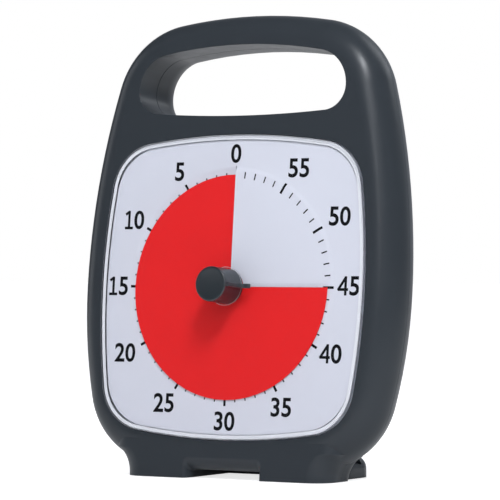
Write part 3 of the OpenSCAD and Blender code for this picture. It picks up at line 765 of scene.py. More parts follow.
class Finishes:
    """All finishes of the timer, made once."""

    SHELL = Moulded("charcoal_abs", (53, 58, 63), roughness=0.31, specular=0.3, grain_mm=0.3,
                    grain_height=0.003)
    KNOB = Moulded("knob_grain", (40, 47, 52), roughness=0.36, specular=0.75, grain_mm=0.5,
                   grain_height=0.03)
    DIAL = Moulded("dial_print", (216, 218, 228), roughness=0.55, specular=0.2, mottling=0.008,
                   grain_height=0.001)
    INK = Moulded("dial_ink", (13, 13, 17), roughness=0.6, specular=0.1, mottling=0.1, grain_mm=0.2,
                  grain_height=0.001)
    FILM = Moulded("red_film", (234, 34, 36), roughness=0.42, specular=0.15, mottling=0.03, patch_mm=24,
                   grain_mm=9, grain_height=0.05)
    CARRIER = Moulded("white_abs", (222, 225, 234), roughness=0.4, mottling=0.01)
    STEEL = Moulded("zinc_plate", (190, 192, 196), roughness=0.3, metallic=1.0, mottling=0.06, patch_mm=3,
                    grain_mm=0.2, grain_height=0.002)
    BRASS = Moulded("turned_brass", (205, 168, 92), roughness=0.28, metallic=1.0, patch_mm=3)
    GEAR = Moulded("acetal", (228, 224, 208), roughness=0.4, mottling=0.02)
    BLACK = Moulded("black_abs", (34, 35, 38), roughness=0.5)
    COPPER = Moulded("enamelled_wire", (178, 96, 44), roughness=0.3, metallic=0.9, patch_mm=0.6,
                     mottling=0.25, grain_mm=0.15, grain_height=0.03)
    BOARD = Moulded("solder_mask", (32, 96, 52), roughness=0.35, mottling=0.12, patch_mm=2.5, coat=0.4)
    CELL = Moulded("cell_sleeve", (58, 96, 148), roughness=0.25, mottling=0.05, coat=0.6)
    RUBBER = Moulded("pad_rubber", (26, 27, 29), roughness=0.8, mottling=0.08, patch_mm=2, grain_mm=0.25,
                     grain_height=0.02)
    POT = Moulded("blue_abs", (38, 78, 128), roughness=0.4)
    CONE = Moulded("speaker_paper", (30, 31, 33), roughness=0.9, mottling=0.12, patch_mm=1.5, grain_mm=0.3,
                   grain_height=0.04)
    LENS = Clear("clear_lens", haze=0.002)
    # Near-opaque frosted white that paints the glints and bright reflected bands of the lens's edges, where a
    # clear lens would show refracted and reflected light.
    LENS_PAINTED_GLINT = Clear("lens_edge", body=(240, 242, 247), haze=0.93, roughness=0.2)
    STRIP = Clear("clear_film", haze=0.015, gloss=0.2, roughness=0.1)

    BY_NODE = {name: finish for finish, names in (
        (SHELL, "front_housing rear_housing battery_door"), (KNOB, "knob volume_dial"),
        (LENS, "lens"), (DIAL, "dial_plate"), (CARRIER, "dial_carrier"), (FILM, "time_disc disc_hub"),
        (STRIP, "disc_strip"), (BRASS, "clutch_washer bushing_nut"),
        (GEAR, "centre_wheel third_wheel fourth_wheel"),
        (BLACK, "movement_front movement_rear driver_chip"), (COPPER, "coil"), (BOARD, "circuit_board"),
        (CELL, "battery"), (CONE, "speaker_cone"), (POT, "volume_pot"), (RUBBER, "foot_pads"),
        (STEEL, "carrier_screws spindle rotor stator quartz_crystal board_screws contact_plate "
                "contact_spring speaker_frame case_screws"),
    ) for name in names.split()}

    def __init__(self) -> None:
        """Starts with no material built."""
        self._made: dict[str, bpy.types.Material] = {}

    def get(self, finish: Moulded | Clear) -> bpy.types.Material:
        """Builds a finish on its first use.

        Args:
            finish: The finish.

        Returns:
            Its material.
        """
        if finish.name not in self._made:
            self._made[finish.name] = finish.material()
        return self._made[finish.name]

    def dress_nodes(self, nodes: dict[str, bpy.types.Object]) -> None:
        """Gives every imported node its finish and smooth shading.

        Args:
            nodes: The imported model's objects by name.
        """
        shading = self._smooth_group()
        for name, node in nodes.items():
            for slot in node.material_slots:
                slot.material = self.get(self.BY_NODE[name])
            weld = node.modifiers.new("weld", "WELD")
            weld.merge_threshold = 2e-7
            smooth = node.modifiers.new("smooth", "NODES")
            smooth.node_group = shading

    @staticmethod
    def _smooth_group() -> bpy.types.NodeTree:
        """Builds the node group that shades smoothly and keeps sharp edges.

        Returns:
            The node group.
        """
        group = bpy.data.node_groups.new("smooth_by_angle", "GeometryNodeTree")
        for side in ("INPUT", "OUTPUT"):
            group.interface.new_socket("Geometry", in_out=side, socket_type="NodeSocketGeometry")
        graph = Graph(group)
        start, end = graph.add("NodeGroupInput"), graph.add("NodeGroupOutput")
        angle = graph.add("GeometryNodeInputMeshEdgeAngle").outputs["Unsigned Angle"]
        sharp = graph.add("FunctionNodeCompare", set_operation="GREATER_THAN", in0=angle,
                          in1=math.radians(28))
        faces = graph.add("GeometryNodeSetShadeSmooth", Geometry=start.outputs[0])
        edges = graph.add("GeometryNodeSetShadeSmooth", set_domain="EDGE", Geometry=faces.outputs[0],
                          Selection=sharp.outputs[0], Shade_Smooth=False)
        group.links.new(edges.outputs[0], end.inputs[0])
        return group


# ---------------------------------------------------------------- housing


@dataclass
class Housing:
    """The two halves of the case, with the handle, feet, battery bay and grille."""

    face: FaceFrame
    finishes: Finishes
    body: Outline = Outline(70.7, 105.84, -69.5, 292, 191, 206, 400, 33.6, 31)
    depth: float = 30.0
    widest: float = 11.2
    seam: float = 12.3
    seam_gap: float = 0.05
    front_round: float = 10.0
    rear_round: float = 24.0
    wall: float = 2.2
    opening: Outline = Outline(46.2, 16, -11.5, 28, 18, 200, 500, 13.8, 9.5, rise=77.3)
    opening_depth: float = 19.5
    opening_flare: float = 7.0
    edge: float = 0.35
    groove: tuple[float, float] = (0.3, 0.4)
    window: Outline = field(default_factory=lambda: squircle(58.5))
    window_depth: float = 3.9
    window_lip: float = 0.4
    foot_half: float = 45.5
    foot_back: float = 24.0
    foot_corner: float = 9.0
    flare_start: float = -150.0
    flare_turn: float = 70.0
    flare_low: float = -72.4
    flare_high: float = 11.0
    flare_wide: float = 9.0
    heel_half: float = 41.5
    heel_reach: float = 38.5
    heel_top: float = 8.6
    heel_edge: float = 5.0
    sole: float = 0.25
    sole_thick: float = 2.2
    scoop_half: float = 15.5
    scoop_high: float = 3.3
    scoop_reach: float = 24.0
    scoop_corner: float = 0.8
    lip_high: float = 5.4
    lip_wide: float = 2.2
    lip_corner: float = 1.6
    bay_half: float = 28.6
    bay: tuple[float, float] = (-49.4, -31.4)
    bay_floor: float = 13.5
    bay_wall: float = 1.8
    door_thick: float = 1.8
    door_gap: float = 0.1
    door_thumb: float = 0.8
    door_pivot: tuple[float, float] = (28.4, -48.0)
    hinge_radius: float = 1.9
    pin_radius: float = 1.05
    pin_reach: float = 1.6
    post_radius: float = 3.2
    post_bore: float = 1.5
    post_bore_deep: float = 8.0
    lug_bore: float = 1.05
    lug_bore_front: float = 1.3
    well_wall: float = 4.7
    well_radius: float = 3.3
    well_floor: float = 2.2
    screw_radius: float = 1.55
    posts: tuple = ((53, 62.8), (-53, 62.8), (41, -61.4), (-41, -61.4))
    lugs: tuple = ((54.6, 54.6), (-54.6, 54.6), (30, -62.4), (-30, -62.4))
    speaker: tuple[float, float] = (-24, 35)
    speaker_radius: float = 14.0
    speaker_gap: float = 0.1
    speaker_wall: float = 1.6
    speaker_deep: float = 5.0
    grille_rows: int = 3
    grille_pitch: float = 3.2
    grille_margin: float = 3.0
    slot_radius: float = 0.8
    slot_round: float = 0.3
    volume: tuple[float, float] = (26, 36)
    volume_radius: float = 9.6
    volume_wall: float = 1.5
    volume_wall_deep: float = 4.5
    volume_gap: float = 0.3
    volume_deep: float = 2.4
    shaft_radius: float = 3.05
    pad_radius: float = 4.1
    pad_deep: float = 1.7
    pads: tuple = ((33, 2.0), (-33, 2.0), (28, 30.5), (-28, 30.5))

    def rounding(self, g: float, steps: int) -> list[tuple[float, float]]:
        """Rings of the body, as depth and growth, taken in by g all round.

        Args:
            g: Distance inside the outer surface.
            steps: Rings on each rounding.

        Returns:
            Pairs of depth and growth from front to back.
        """
        quarter = turns(steps)
        near, far = self.widest - g, self.depth - self.widest - g
        front_in, rear_in = self.front_round - g, self.rear_round - g
        front = [(self.widest - near * math.cos(t), -g - front_in * (1 - math.sin(t))) for t in quarter]
        back = [(self.widest + far * math.sin(t), -g - rear_in * (1 - math.cos(t))) for t in quarter[1:]]
        flat = [(front[0][0], front[0][1] - inset) for inset in CAP_INSETS]
        return flat + front + back + [(back[-1][0], back[-1][1] - inset) for inset in reversed(CAP_INSETS)]

    def form(self, g: float, steps: int) -> Solid:
        """Makes the body with its feet.

        Args:
            g: Distance inside the outer surface.
            steps: Rings on each rounding.

        Returns:
            The form.
        """
        made = Solid.stacked(self.body, self.rounding(g, steps))
        plan = Plan(self.foot_half, 0, self.foot_back, self.foot_corner)
        rings = [(self.flare_start, -g, 0.0)]
        rings += [(self.flare_low + self.flare_high * math.sin(t), -g, self.flare_wide * (1 - math.cos(t)))
                  for t in turns(10, self.flare_turn)]
        rings.append((self.body.bottom + self.front_round + 1, -g, rings[-1][2]))
        made.join(Solid.lofted(plan.draw, rings, Matrix.Identity(4)))
        return made.join(self.heel(g))

    def heel(self, g: float) -> Solid:
        """Makes the rear foot.

        Args:
            g: Distance inside the outer surface.

        Returns:
            The form.
        """
        y = self.face.origin.y / MM
        plan = Plan(self.heel_half, y - 2, y + self.heel_reach, self.foot_corner)
        top = self.heel_edge - g
        rings = [(-self.sole, -g)]
        rings += [(self.heel_top - self.heel_edge + top * math.sin(t), -g - top * (1 - math.cos(t)))
                  for t in turns(10)]
        return Solid.lofted(plan.draw, rings, self.face.from_table)

    def hole(self, g: float) -> Solid:
        """Makes the handle's opening, with a fine front edge and a broad rear rounding.

        Args:
            g: Distance by which it is larger all round.

        Returns:
            The form that is cut away.
        """
        quarter = turns(10)
        lip = [(self.edge * (1 - math.cos(t)) - HAIR, g + self.edge * (1 - math.sin(t))) for t in quarter]
        reach = self.depth + 1 - self.opening_depth
        back = [(self.opening_depth + reach * math.sin(t), g + self.opening_flare * (1 - math.cos(t)))
                for t in quarter]
        return Solid.stacked(self.opening, [(-20.0, g + self.edge)] + lip + back)

    def scoop(self, g: float) -> Solid:
        """Makes the hollow under the base with its rounded mouth.

        Args:
            g: Distance by which it is larger all round.

        Returns:
            The form that is cut away.
        """
        origin = self.face.origin / MM
        lean = math.tan(self.face.tilt)
        front = origin.y - origin.z * lean
        half, roof = self.scoop_half + g, self.scoop_high + g
        rings = [(front - 8, 1.0)]
        rings += [(front - HAIR + self.lip_high * (1 - math.cos(t)), 1 - math.sin(t)) for t in turns(10)]
        rings.append((origin.y + self.scoop_reach + g, 0.0))

        def draw(bm: bmesh.types.BMesh, y: float, mouth: float) -> list[bmesh.types.BMEdge]:
            """Draws one cross-section.

            Args:
                bm: Mesh to draw in.
                y: Depth.
                mouth: Share of the mouth's widening, 1 at the front and 0 inside.

            Returns:
                The outline's edges.
            """
            wide, high = half + self.lip_wide * mouth, roof + self.lip_high * mouth
            corner = self.scoop_corner + self.lip_corner * mouth
            pen = Pen(bm, 0, -3.0, y).line(wide, -3.0).line(wide, high - corner)
            return pen.arc(wide - corner, high - corner, 90, 8).line(0, high).mirrored()

        made = Solid.lofted(draw, rings, DEPTH_FROM_HEIGHT)
        leaning = Matrix(((1, 0, 0, 0), (0, 1, lean, 0), (0, 0, 1, 0), (0, 0, 0, 1)))
        return made.moved(self.face.from_table @ leaning)

    def pad_recesses(self) -> Solid:
        """Makes the recesses under the base for the foot pads.

        Returns:
            The form that is cut away.
        """
        y = self.face.origin.y / MM
        places = [(x, -y - behind) for x, behind in self.pads]
        return Solid.rods(self.pad_radius, -0.1, self.pad_deep, places).moved(self.face.from_table @ UPRIGHT)

    def above(self, height: float) -> Solid:
        """All that is higher than a height above the table."""
        return Solid.brick((-FAR, FAR), (-FAR, FAR), (height, FAR)).moved(self.face.from_table)

    def build(self) -> None:
        """Makes both halves and puts them in place of their nodes."""
        fine, coarse = ((22, 10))
        outer = self.form(0, fine).keep(self.above(self.sole)).cut(self.hole(0)).cut(self.scoop(0))
        wide, deep = self.groove
        outer.cut(Solid.stacked(self.opening, [(self.seam - wide / 2, deep), (self.seam + wide / 2, deep)]))
        outer.cut(self.pad_recesses())
        inner = self.form(self.wall, coarse).keep(self.above(self.sole + self.sole_thick))
        inner.cut(self.hole(self.wall)).cut(self.scoop(self.wall))
        shell = self.finishes.get(Finishes.SHELL)
        for name, made in (("front_shell", self.front(outer.copy(), inner.copy())),
                           ("rear_shell", self.rear(outer, inner))):
            piece = made.piece(name, self.face, [shell])
            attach(piece, Body.CASE.value)
            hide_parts(name.replace("shell", "housing"))

    def front(self, outer: Solid, inner: Solid) -> Solid:
        """Shapes the front half.

        Args:
            outer: The whole outside, which is used up.
            inner: The whole hollow, which is used up.

        Returns:
            The front half.
        """
        outer.keep(Solid.brick((-FAR, FAR), (-FAR, self.seam - self.seam_gap), (-FAR, FAR)))
        for end, places in ((self.seam, self.posts), (self.window_depth, self.lugs)):
            inner.cut(Solid.rods(self.post_radius, -BEYOND, end, places))
        lip = [(self.window_lip * (1 - math.cos(t)) - HAIR, self.window_lip * (1 - math.sin(t)))
               for t in turns(5)]
        rings = [(-BEYOND, self.window_lip)] + lip + [(self.window_depth, 0)]
        outer.cut(inner).cut(Solid.stacked(self.window, rings))
        outer.cut(Solid.rods(self.post_bore, self.seam - self.post_bore_deep, self.seam + 1, self.posts))
        return outer.cut(Solid.rods(self.lug_bore, self.lug_bore_front, self.window_depth + 1, self.lugs))

    def rear(self, outer: Solid, inner: Solid) -> Solid:
        """Shapes the rear half.

        Args:
            outer: The whole outside, which is used up.
            inner: The whole hollow, which is used up.

        Returns:
            The rear half.
        """
        outer.keep(Solid.brick((-FAR, FAR), (self.seam + self.seam_gap, FAR), (-FAR, FAR)))
        self.leave_walls(inner)
        outer.cut(inner)
        self.cut_battery_bay(outer)
        end = self.depth + BEYOND
        outer.cut(Solid.rods(self.well_radius, self.seam + self.well_floor, end, self.posts))
        outer.cut(Solid.rods(self.screw_radius, 0, self.depth, self.posts))
        for row in range(-self.grille_rows, self.grille_rows + 1):
            level = self.grille_pitch * row
            half = math.sqrt((self.speaker_radius - self.grille_margin) ** 2 - level ** 2)
            outer.cut(self.slot(self.speaker[0], self.speaker[1] + level, half))
        round_well = self.volume_radius + self.volume_gap
        outer.cut(Solid.rods(round_well, self.depth - self.volume_deep, end, [self.volume]))
        return outer.cut(Solid.rods(self.shaft_radius, 0, end, [self.volume]))

    def leave_walls(self, inner: Solid) -> None:
        """Takes from the hollow the walls about screws, battery bay, speaker and volume dial.

        Args:
            inner: The hollow.
        """
        back, end = self.depth, self.depth + BEYOND
        inner.cut(Solid.rods(self.well_wall, 0, end, self.posts))
        wide = self.bay_half + self.bay_wall
        levels = (self.bay[0] - self.bay_wall, self.bay[1] + self.bay_wall)
        inner.cut(Solid.brick((-wide, wide), (self.seam, end), levels))
        floor, radius = back - self.wall, self.speaker_radius
        ring = Solid.rods(radius + self.speaker_wall, floor - self.speaker_deep, end, [self.speaker])
        inner.cut(ring.cut(Solid.rods(radius + self.speaker_gap, 0, floor, [self.speaker])))
        round_wall = self.volume_radius + self.volume_wall
        inner.cut(Solid.rods(round_wall, back - self.volume_wall_deep, end, [self.volume]))

    def cut_battery_bay(self, outer: Solid) -> None:
        """Opens the battery bay, the seat of its door and the room for the door's hinge.

        Args:
            outer: The rear half.
        """
        back, end = self.depth, self.depth + BEYOND
        across = (-self.bay_half, self.bay_half)
        y, z = self.door_pivot
        seat = back - self.door_thick - self.door_gap
        for start, levels in ((self.bay_floor, self.bay), (seat, (z, self.bay[1] + self.door_thumb)),
                              (y, (z - self.hinge_radius, z + self.door_gap))):
            outer.cut(Solid.brick(across, (start, end), levels))
        turn = Matrix.Translation((0, y, z)) @ Matrix.Rotation(math.pi / 2, 4, "Z")
        for radius, half in ((self.hinge_radius, self.bay_half),
                             (self.pin_radius, self.bay_half + self.pin_reach)):
            outer.cut(Solid.rods(radius, -half, half, [(0, 0)]).moved(turn))

    def slot(self, x: float, z: float, half: float) -> Solid:
        """Makes one slot of the grille, with round ends and a small outer rounding.

        Args:
            x: Its middle across.
            z: Its middle up the face.
            half: Half its length, without the ends.

        Returns:
            The form that is cut away.
        """
        edge = self.slot_round
        start = self.depth + HAIR - edge
        rings = [(self.depth - self.wall - 0.5, 0.0)]
        rings += [(start + edge * math.sin(t), edge * (1 - math.cos(t))) for t in turns(3)]
        rings.append((self.depth + 3, edge))

        def draw(bm: bmesh.types.BMesh, depth: float, grow: float) -> list[bmesh.types.BMEdge]:
            """Draws one cross-section.

            Args:
                bm: Mesh to draw in.
                depth: Depth.
                grow: Distance by which it is larger all round.

            Returns:
                The outline's edges.
            """
            reach = self.slot_radius + grow
            pen = Pen(bm, 0, -reach, depth).line(half, -reach)
            return pen.arc(half, 0, 180, 10).line(0, reach).mirrored()

        return Solid.lofted(draw, rings, DEPTH_FROM_HEIGHT).moved(Matrix.Translation((x, 0, z)))


# ---------------------------------------------------------------- window and dial


@dataclass
class Window:
    """The clear lens: a shallow tub with a bore for the knob; frosted white strips on the bore's rim, the
    bevel's end and the inner shoulder are painted glints and reflections.
    """

    face: FaceFrame
    finishes: Finishes
    proud: float = 3.7
    thick: float = 1.8
    side_wall: float = 1.7
    side_half: float = 58.2
    front_half: float = 56.8
    bevel_end: float = -1.1
    edge: float = 0.7
    flange_half: float = 60.5
    flange: tuple[float, float] = (2.5, 3.8)
    base: float = -0.6
    skirt: float = 0.35
    bore: float = 7.15
    bore_round: float = 0.12
    rim_wide: float = 0.45
    rim_high: float = 0.25
    rim_foot: float = 0.15
    bevel: tuple[float, float] = (0.2, 0.27)
    inner_round: float = 0.8

    def rings(self) -> list[tuple[float, float | None, float, int]]:
        """Rings from the bore's back over the front, the side and the flange to the inner face.

        Returns:
            For each ring its radius if it is a circle, else none, its growth, its depth and the
                finish of the strip that follows it: 0 clear, 1 the frosted white of painted glints and
                    reflections.
        """
        front, bore, small = -self.proud, self.bore, self.bore_round
        quarter = turns(6)
        rim, high = bore + self.rim_wide, front - self.rim_high
        # The bore's wall near the front and its small rounding take finish 1: a painted glint round the
        # knob's base.
        rings = [(bore, 0, front + self.thick, 0), (bore, 0, high + small, 1), (bore + small, 0, high, 1)]
        rings += [(rim - self.rim_high * (1 - math.sin(t)), 0, front - self.rim_high * math.cos(t), 0)
                  for t in quarter]
        rings.append((rim + self.rim_foot, 0, front, 0))
        grow = self.front_half - self.side_half
        rings += [(None, grow - self.edge - inset, front, 0) for inset in (2, 0.2)]
        rings += [(None, grow - self.edge * (1 - math.sin(t)), front + self.edge * (1 - math.cos(t)), 0)
                  for t in quarter]
        out, (near, far) = self.flange_half - self.side_half, self.flange
        wide, high = self.bevel
        # The bevel's outer end takes finish 1: a thin painted glint line round the lens.
        rings += [(None, -wide, self.bevel_end - high, 1), (None, 0, self.bevel_end, 0), (None, 0, near, 0),
                  (None, out, near, 0), (None, out, far, 0)]
        wall, inner, soft = -self.side_wall, front + self.thick, self.inner_round
        # The inner shoulder at the base takes finish 1: a frosted strip that paints the bright reflected band
        # seen through the front pane, while the shading on it is real.
        rings += [(None, -self.skirt, far, 0), (None, -self.skirt, self.base, 1), (None, wall, self.base, 0)]
        rings += [(None, wall - soft * (1 - math.cos(t)), inner + soft * (1 - math.sin(t)), 0)
                  for t in quarter]
        return rings + [(None, wall - 3 * soft, inner, 0), (bore + 0.3, 0, inner, 0)]

    def build(self) -> None:
        """Makes the lens and puts it in place of its node."""
        outline = squircle(self.side_half)
        rings = self.rings()

        def draw(bm: bmesh.types.BMesh, radius: float | None, grow: float, depth: float,
                 _: int) -> list[bmesh.types.BMEdge]:
            """Draws one ring.

            Args:
                bm: Mesh to draw in.
                radius: Radius of a circle, or none.
                grow: Growth of the window's outline.
                depth: Depth.
                _: Finish of the strip, which isn't drawn.

            Returns:
                The ring's edges.
            """
            return outline.circle(bm, depth, radius) if radius else outline.draw(bm, depth, grow)

        tub = Solid.lofted(draw, rings, DEPTH_FROM_HEIGHT, [ring[3] for ring in rings])
        # Finish 1 is the frosted white of the painted glints and reflections.
        finishes = [self.finishes.get(Finishes.LENS), self.finishes.get(Finishes.LENS_PAINTED_GLINT)]
        piece = tub.piece("lens_tub", self.face, finishes, sharp=50)
        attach(piece, Body.CASE.value)
        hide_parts("lens")


@dataclass
class Dial:
    """Printed numbers and minute marks on the dial."""

    face: FaceFrame
    finishes: Finishes
    digit_high: float = 7.3
    stretch: float = 0.97
    stroke: float = 1.05
    stroke_end: float = 0.9
    shift: tuple[float, float] = (0.35, -0.15)
    pitch: float = 4.9
    ink: float = 0.02
    sunk: float = 0.005
    numbers: tuple = (("0", -0.7, 51.3), ("55", 27.4, 45.4), ("50", 46.1, 27.0), ("45", 51.4, 0.85),
                      ("40", 45.0, -24.6), ("35", 24.6, -45.05), ("30", -0.25, -50.95), ("25", -27.7, -44.6),
                      ("20", -46.8, -25.6), ("15", -51.6, 0.25), ("10", -45.9, 26.0), ("5", -25.9, 44.6))
    major: tuple[float, float, float] = (41.0, 45.4, 1.0)
    minor: tuple[float, float, float] = (41.6, 44.1, 0.52)
    ramp: float = 0.675
    ramp_radius: float = 43.8
    flat_radius: float = 46.2

    def lift(self, degrees: float, radius: float) -> float:
        """How far the dial stands toward the viewer, at an angle to the left of the slit."""
        share = min(1.0, max(0.0, (self.flat_radius - radius) / (self.flat_radius - self.ramp_radius)))
        return share * share * (3 - 2 * share) * self.ramp * (degrees / 180 - 1)

    def build(self) -> None:
        """Makes the numbers and the marks."""
        ink = self.finishes.get(Finishes.INK)
        for name, solid in (("dial_numbers", self.figures()), ("minute_marks", self.marks())):
            piece = solid.piece(name, self.face, [ink])
            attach(piece, Body.CASE.value)

    def marks(self) -> Solid:
        """Makes the radial marks, all but the one at the slit, bent to the dial's surface.

        Returns:
            The marks as one flat print.
        """
        bm = bmesh.new()
        for minute in range(1, 60):
            inner, outer, wide = self.major if minute % 5 == 0 else self.minor
            degrees = minute * 6.0
            middle = (inner + outer) / 2
            place = Matrix.Rotation(math.radians(-degrees), 4, "Y") @ Matrix.Translation((0, 0, middle))
            place = place @ UPRIGHT @ Matrix.Diagonal((wide / 2, (outer - inner) / 2, 1, 1))
            made = bmesh.ops.create_grid(bm, x_segments=1, y_segments=6, size=1.0, matrix=place)
            for vert in made["verts"]:
                radius = math.hypot(vert.co.x, vert.co.z)
                vert.co.y = -self.lift(degrees, radius) - self.ink
        return self.printed(bm)

    def printed(self, bm: bmesh.types.BMesh) -> Solid:
        """Gives a flat print its thickness behind its surface."""
        return Solid.thickened(bm, (0, self.ink + self.sunk, 0))

    def figures(self) -> Solid:
        """Makes all numbers of the dial.

        Returns:
            The numbers as one flat print.
        """
        flat, bars = bmesh.new(), []
        for text, x, z in self.numbers:
            for index, digit in enumerate(text):
                across = x + self.shift[0] + (index - (len(text) - 1) / 2) * self.pitch
                up = z + self.shift[1]
                if digit in "14":
                    bars.append(self.barred(digit).moved(Matrix.Translation((across, 0, up))))
                else:
                    self.digit(flat, digit, across, up)
        made = self.printed(flat)
        for drawn in bars:
            append(made.bm, drawn.bm)
        return made

    def bar(self, start: tuple[float, float], end: tuple[float, float]) -> Solid:
        """Makes a straight stroke of a digit.

        Args:
            start: First point, across and up the face.
            end: Last point.

        Returns:
            The stroke.
        """
        a, b = Vector(start), Vector(end)
        turn = Matrix.Rotation(math.atan2(b.x - a.x, b.y - a.y), 4, "Y")
        half = self.stroke / 2
        past = half * self.stroke_end
        made = Solid.brick((-half, half), (-self.ink, self.sunk), (-past, (b - a).length + past))
        return made.moved(Matrix.Translation((a.x, 0, a.y)) @ turn)

    def barred(self, digit: str) -> Solid:
        """Makes a digit of straight strokes, about its middle.

        Args:
            digit: A one, which gets a foot, or a four.

        Returns:
            The digit.
        """
        low, high = self.stroke / 2 - self.digit_high / 2, self.digit_high / 2 - self.stroke / 2
        strokes = {
            "1": (((0.25, low), (0.25, high)), ((-1.0, high - 0.75), (0.0, high - 0.1)),
                  ((-1.15, low), (1.65, low))),
            "4": (((1.1, low), (1.1, high)), ((-1.75, low + 1.75), (1.75, low + 1.75)),
                  ((-1.85, low + 1.9), (0.95, high - 0.15))),
        }[digit]
        made, *others = (self.bar(start, end) for start, end in strokes)
        for other in others:
            made.join(other)
        return made

    def digit(self, bm: bmesh.types.BMesh, digit: str, x: float, z: float) -> None:
        """Adds one digit.

        Args:
            bm: Mesh that takes it.
            digit: The character.
            x: Middle across.
            z: Middle up the face.
        """
        curve = bpy.data.curves.new("digit", "FONT")
        curve.body = digit
        curve.offset = 0.02
        curve.resolution_u = 6
        holder = in_scene("digit", curve)
        depsgraph = bpy.context.evaluated_depsgraph_get()
        mesh = bpy.data.meshes.new_from_object(holder.evaluated_get(depsgraph))
        glyph = bmesh.new()
        glyph.from_mesh(mesh)
        xs = [v.co.x for v in glyph.verts]
        ys = [v.co.y for v in glyph.verts]
        middle = Vector(((min(xs) + max(xs)) / 2, (min(ys) + max(ys)) / 2, 0))
        high = self.digit_high / (max(ys) - min(ys))
        wide = high * self.stretch
        place = Matrix.Translation((x, -self.ink, z)) @ UPRIGHT @ Matrix.Diagonal((wide, high, 1, 1))
        bmesh.ops.transform(glyph, matrix=place @ Matrix.Translation(-middle), verts=glyph.verts)
        bmesh.ops.dissolve_limit(glyph, angle_limit=0.01, verts=glyph.verts, edges=glyph.edges)
        append(bm, glyph)
        bpy.data.objects.remove(holder)
        bpy.data.meshes.remove(mesh)
        bpy.data.curves.remove(curve)


@dataclass
class Knob:
    """The centre knob with its pointer fin."""

    face: FaceFrame
    finishes: Finishes
    radius: float = 6.75
    reach: float = 14.59
    back: float = -2.0
    taper: float = 0.08
    foot_high: float = 1.7
    foot_taper: float = 0.05
    edge: float = 0.55
    lip: float = 0.25
    dish: float = 0.5
    socket_radius: float = 2.5
    socket_roof: float = 2.9
    fin_half: float = 0.85
    fin_front: float = 0.8
    fin_reach: float = 11.8
    fin_base: float = -4.5
    fin_proud: float = 0.9
    fin_sunk: float = 0.1
    fin_shoulder: tuple[float, float] = (0.6, 0.9)
    fin_bend: float = 2.6
    fin_thick: float = 1.1
    fin_tip: tuple[float, float] = (0.5, 1.0)
    fin_edge: float = 0.22

    def build(self) -> None:
        """Makes the knob and puts it in place of its node."""
        made = self.barrel().join(self.fin())
        made.cut(Solid.rods(self.socket_radius, -self.reach + self.socket_roof, 0, [(0, 0)], sides=64))
        piece = made.piece("knob_body", self.face, [self.finishes.get(Finishes.KNOB)], sharp=40)
        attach(piece, Body.KNOB.value)
        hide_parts("knob")

    def barrel(self) -> Solid:
        """Makes the round part by turning its profile about the axis.

        Returns:
            The round part.
        """
        bm = bmesh.new()
        side = self.radius - self.taper
        pen = Pen(bm, 0, self.back, 0).line(self.radius - self.foot_taper, self.back)
        pen.line(self.radius, self.back - self.foot_high).line(side, self.edge - self.reach)
        pen.arc(side - self.edge, self.edge - self.reach, -90, 6)
        lip = side - self.edge - self.lip
        sphere = (lip ** 2 + self.dish ** 2) / (2 * self.dish)
        pen.line(lip, -self.reach)
        pen.arc(0, self.dish - self.reach - sphere, math.degrees(math.asin(lip / sphere)), 10)
        bmesh.ops.spin(bm, geom=bm.verts[:] + bm.edges[:], cent=(0, 0, 0), axis=(0, 1, 0), angle=math.tau,
                       steps=128, use_merge=True)
        bmesh.ops.remove_doubles(bm, verts=bm.verts, dist=WELD)
        bmesh.ops.recalc_face_normals(bm, faces=bm.faces)
        return Solid(bm)

    def fin(self) -> Solid:
        """Makes the pointer, a rib along the knob's side that sweeps out to a tip beside the lens.

        Returns:
            The pointer.
        """
        bm = bmesh.new()
        front, out = self.fin_front - self.reach, self.radius + self.fin_proud
        tip, base = self.fin_reach, self.fin_base
        bend = base - self.fin_thick - self.fin_bend
        (wide, high), (slope, thick) = self.fin_shoulder, self.fin_tip
        pen = Pen(bm, 0, front, -self.fin_half)
        pen.line(self.radius - self.fin_sunk, front).line(self.radius + wide, front + high)
        pen.line(out, bend).arc(out + self.fin_bend, bend, -90, 8)
        pen.line(tip - slope, base - thick).line(tip, base - slope).line(tip, base)
        pen.line(0, base).line(0, front)
        bmesh.ops.remove_doubles(bm, verts=bm.verts, dist=1e-5)
        bmesh.ops.contextual_create(bm, geom=bm.edges[:])
        return Solid.thickened(bm, (0, 0, 2 * self.fin_half)).rounded(self.fin_edge, 60, 3)


# ---------------------------------------------------------------- studio


@dataclass(frozen=True)
class Lamp:
    """An area lamp that faces the timer's middle.

    The azimuth is in degrees to the right of the timer's front, the elevation in degrees above the
    table, the distance and the size in metres, the power in watts, and the roll in degrees about
    the lamp's own direction.
    """

    name: str
    azimuth: float
    elevation: float
    distance: float
    size: tuple[float, float]
    power: float
    roll: float = 0.0
    colour: tuple[float, float, float] = (0.93, 0.955, 1.0)
    middle: tuple[float, float, float] = (0, 0, 0.085)

    def add(self) -> None:
        """Adds the lamp to the scene."""
        data = bpy.data.lights.new(self.name, "AREA")
        data.shape = "RECTANGLE"
        data.size, data.size_y = self.size
        data.energy = self.power
        data.color = self.colour
        a, e = math.radians(self.azimuth), math.radians(self.elevation)
        direction = Vector((math.sin(a) * math.cos(e), -math.cos(a) * math.cos(e), math.sin(e)))
        aim = (-direction).to_track_quat("-Z", "Y").to_matrix()
        item = in_scene(self.name, data)
        item.location = Vector(self.middle) + direction * self.distance
        item.rotation_euler = (aim @ Matrix.Rotation(math.radians(self.roll), 3, "Z")).to_euler()


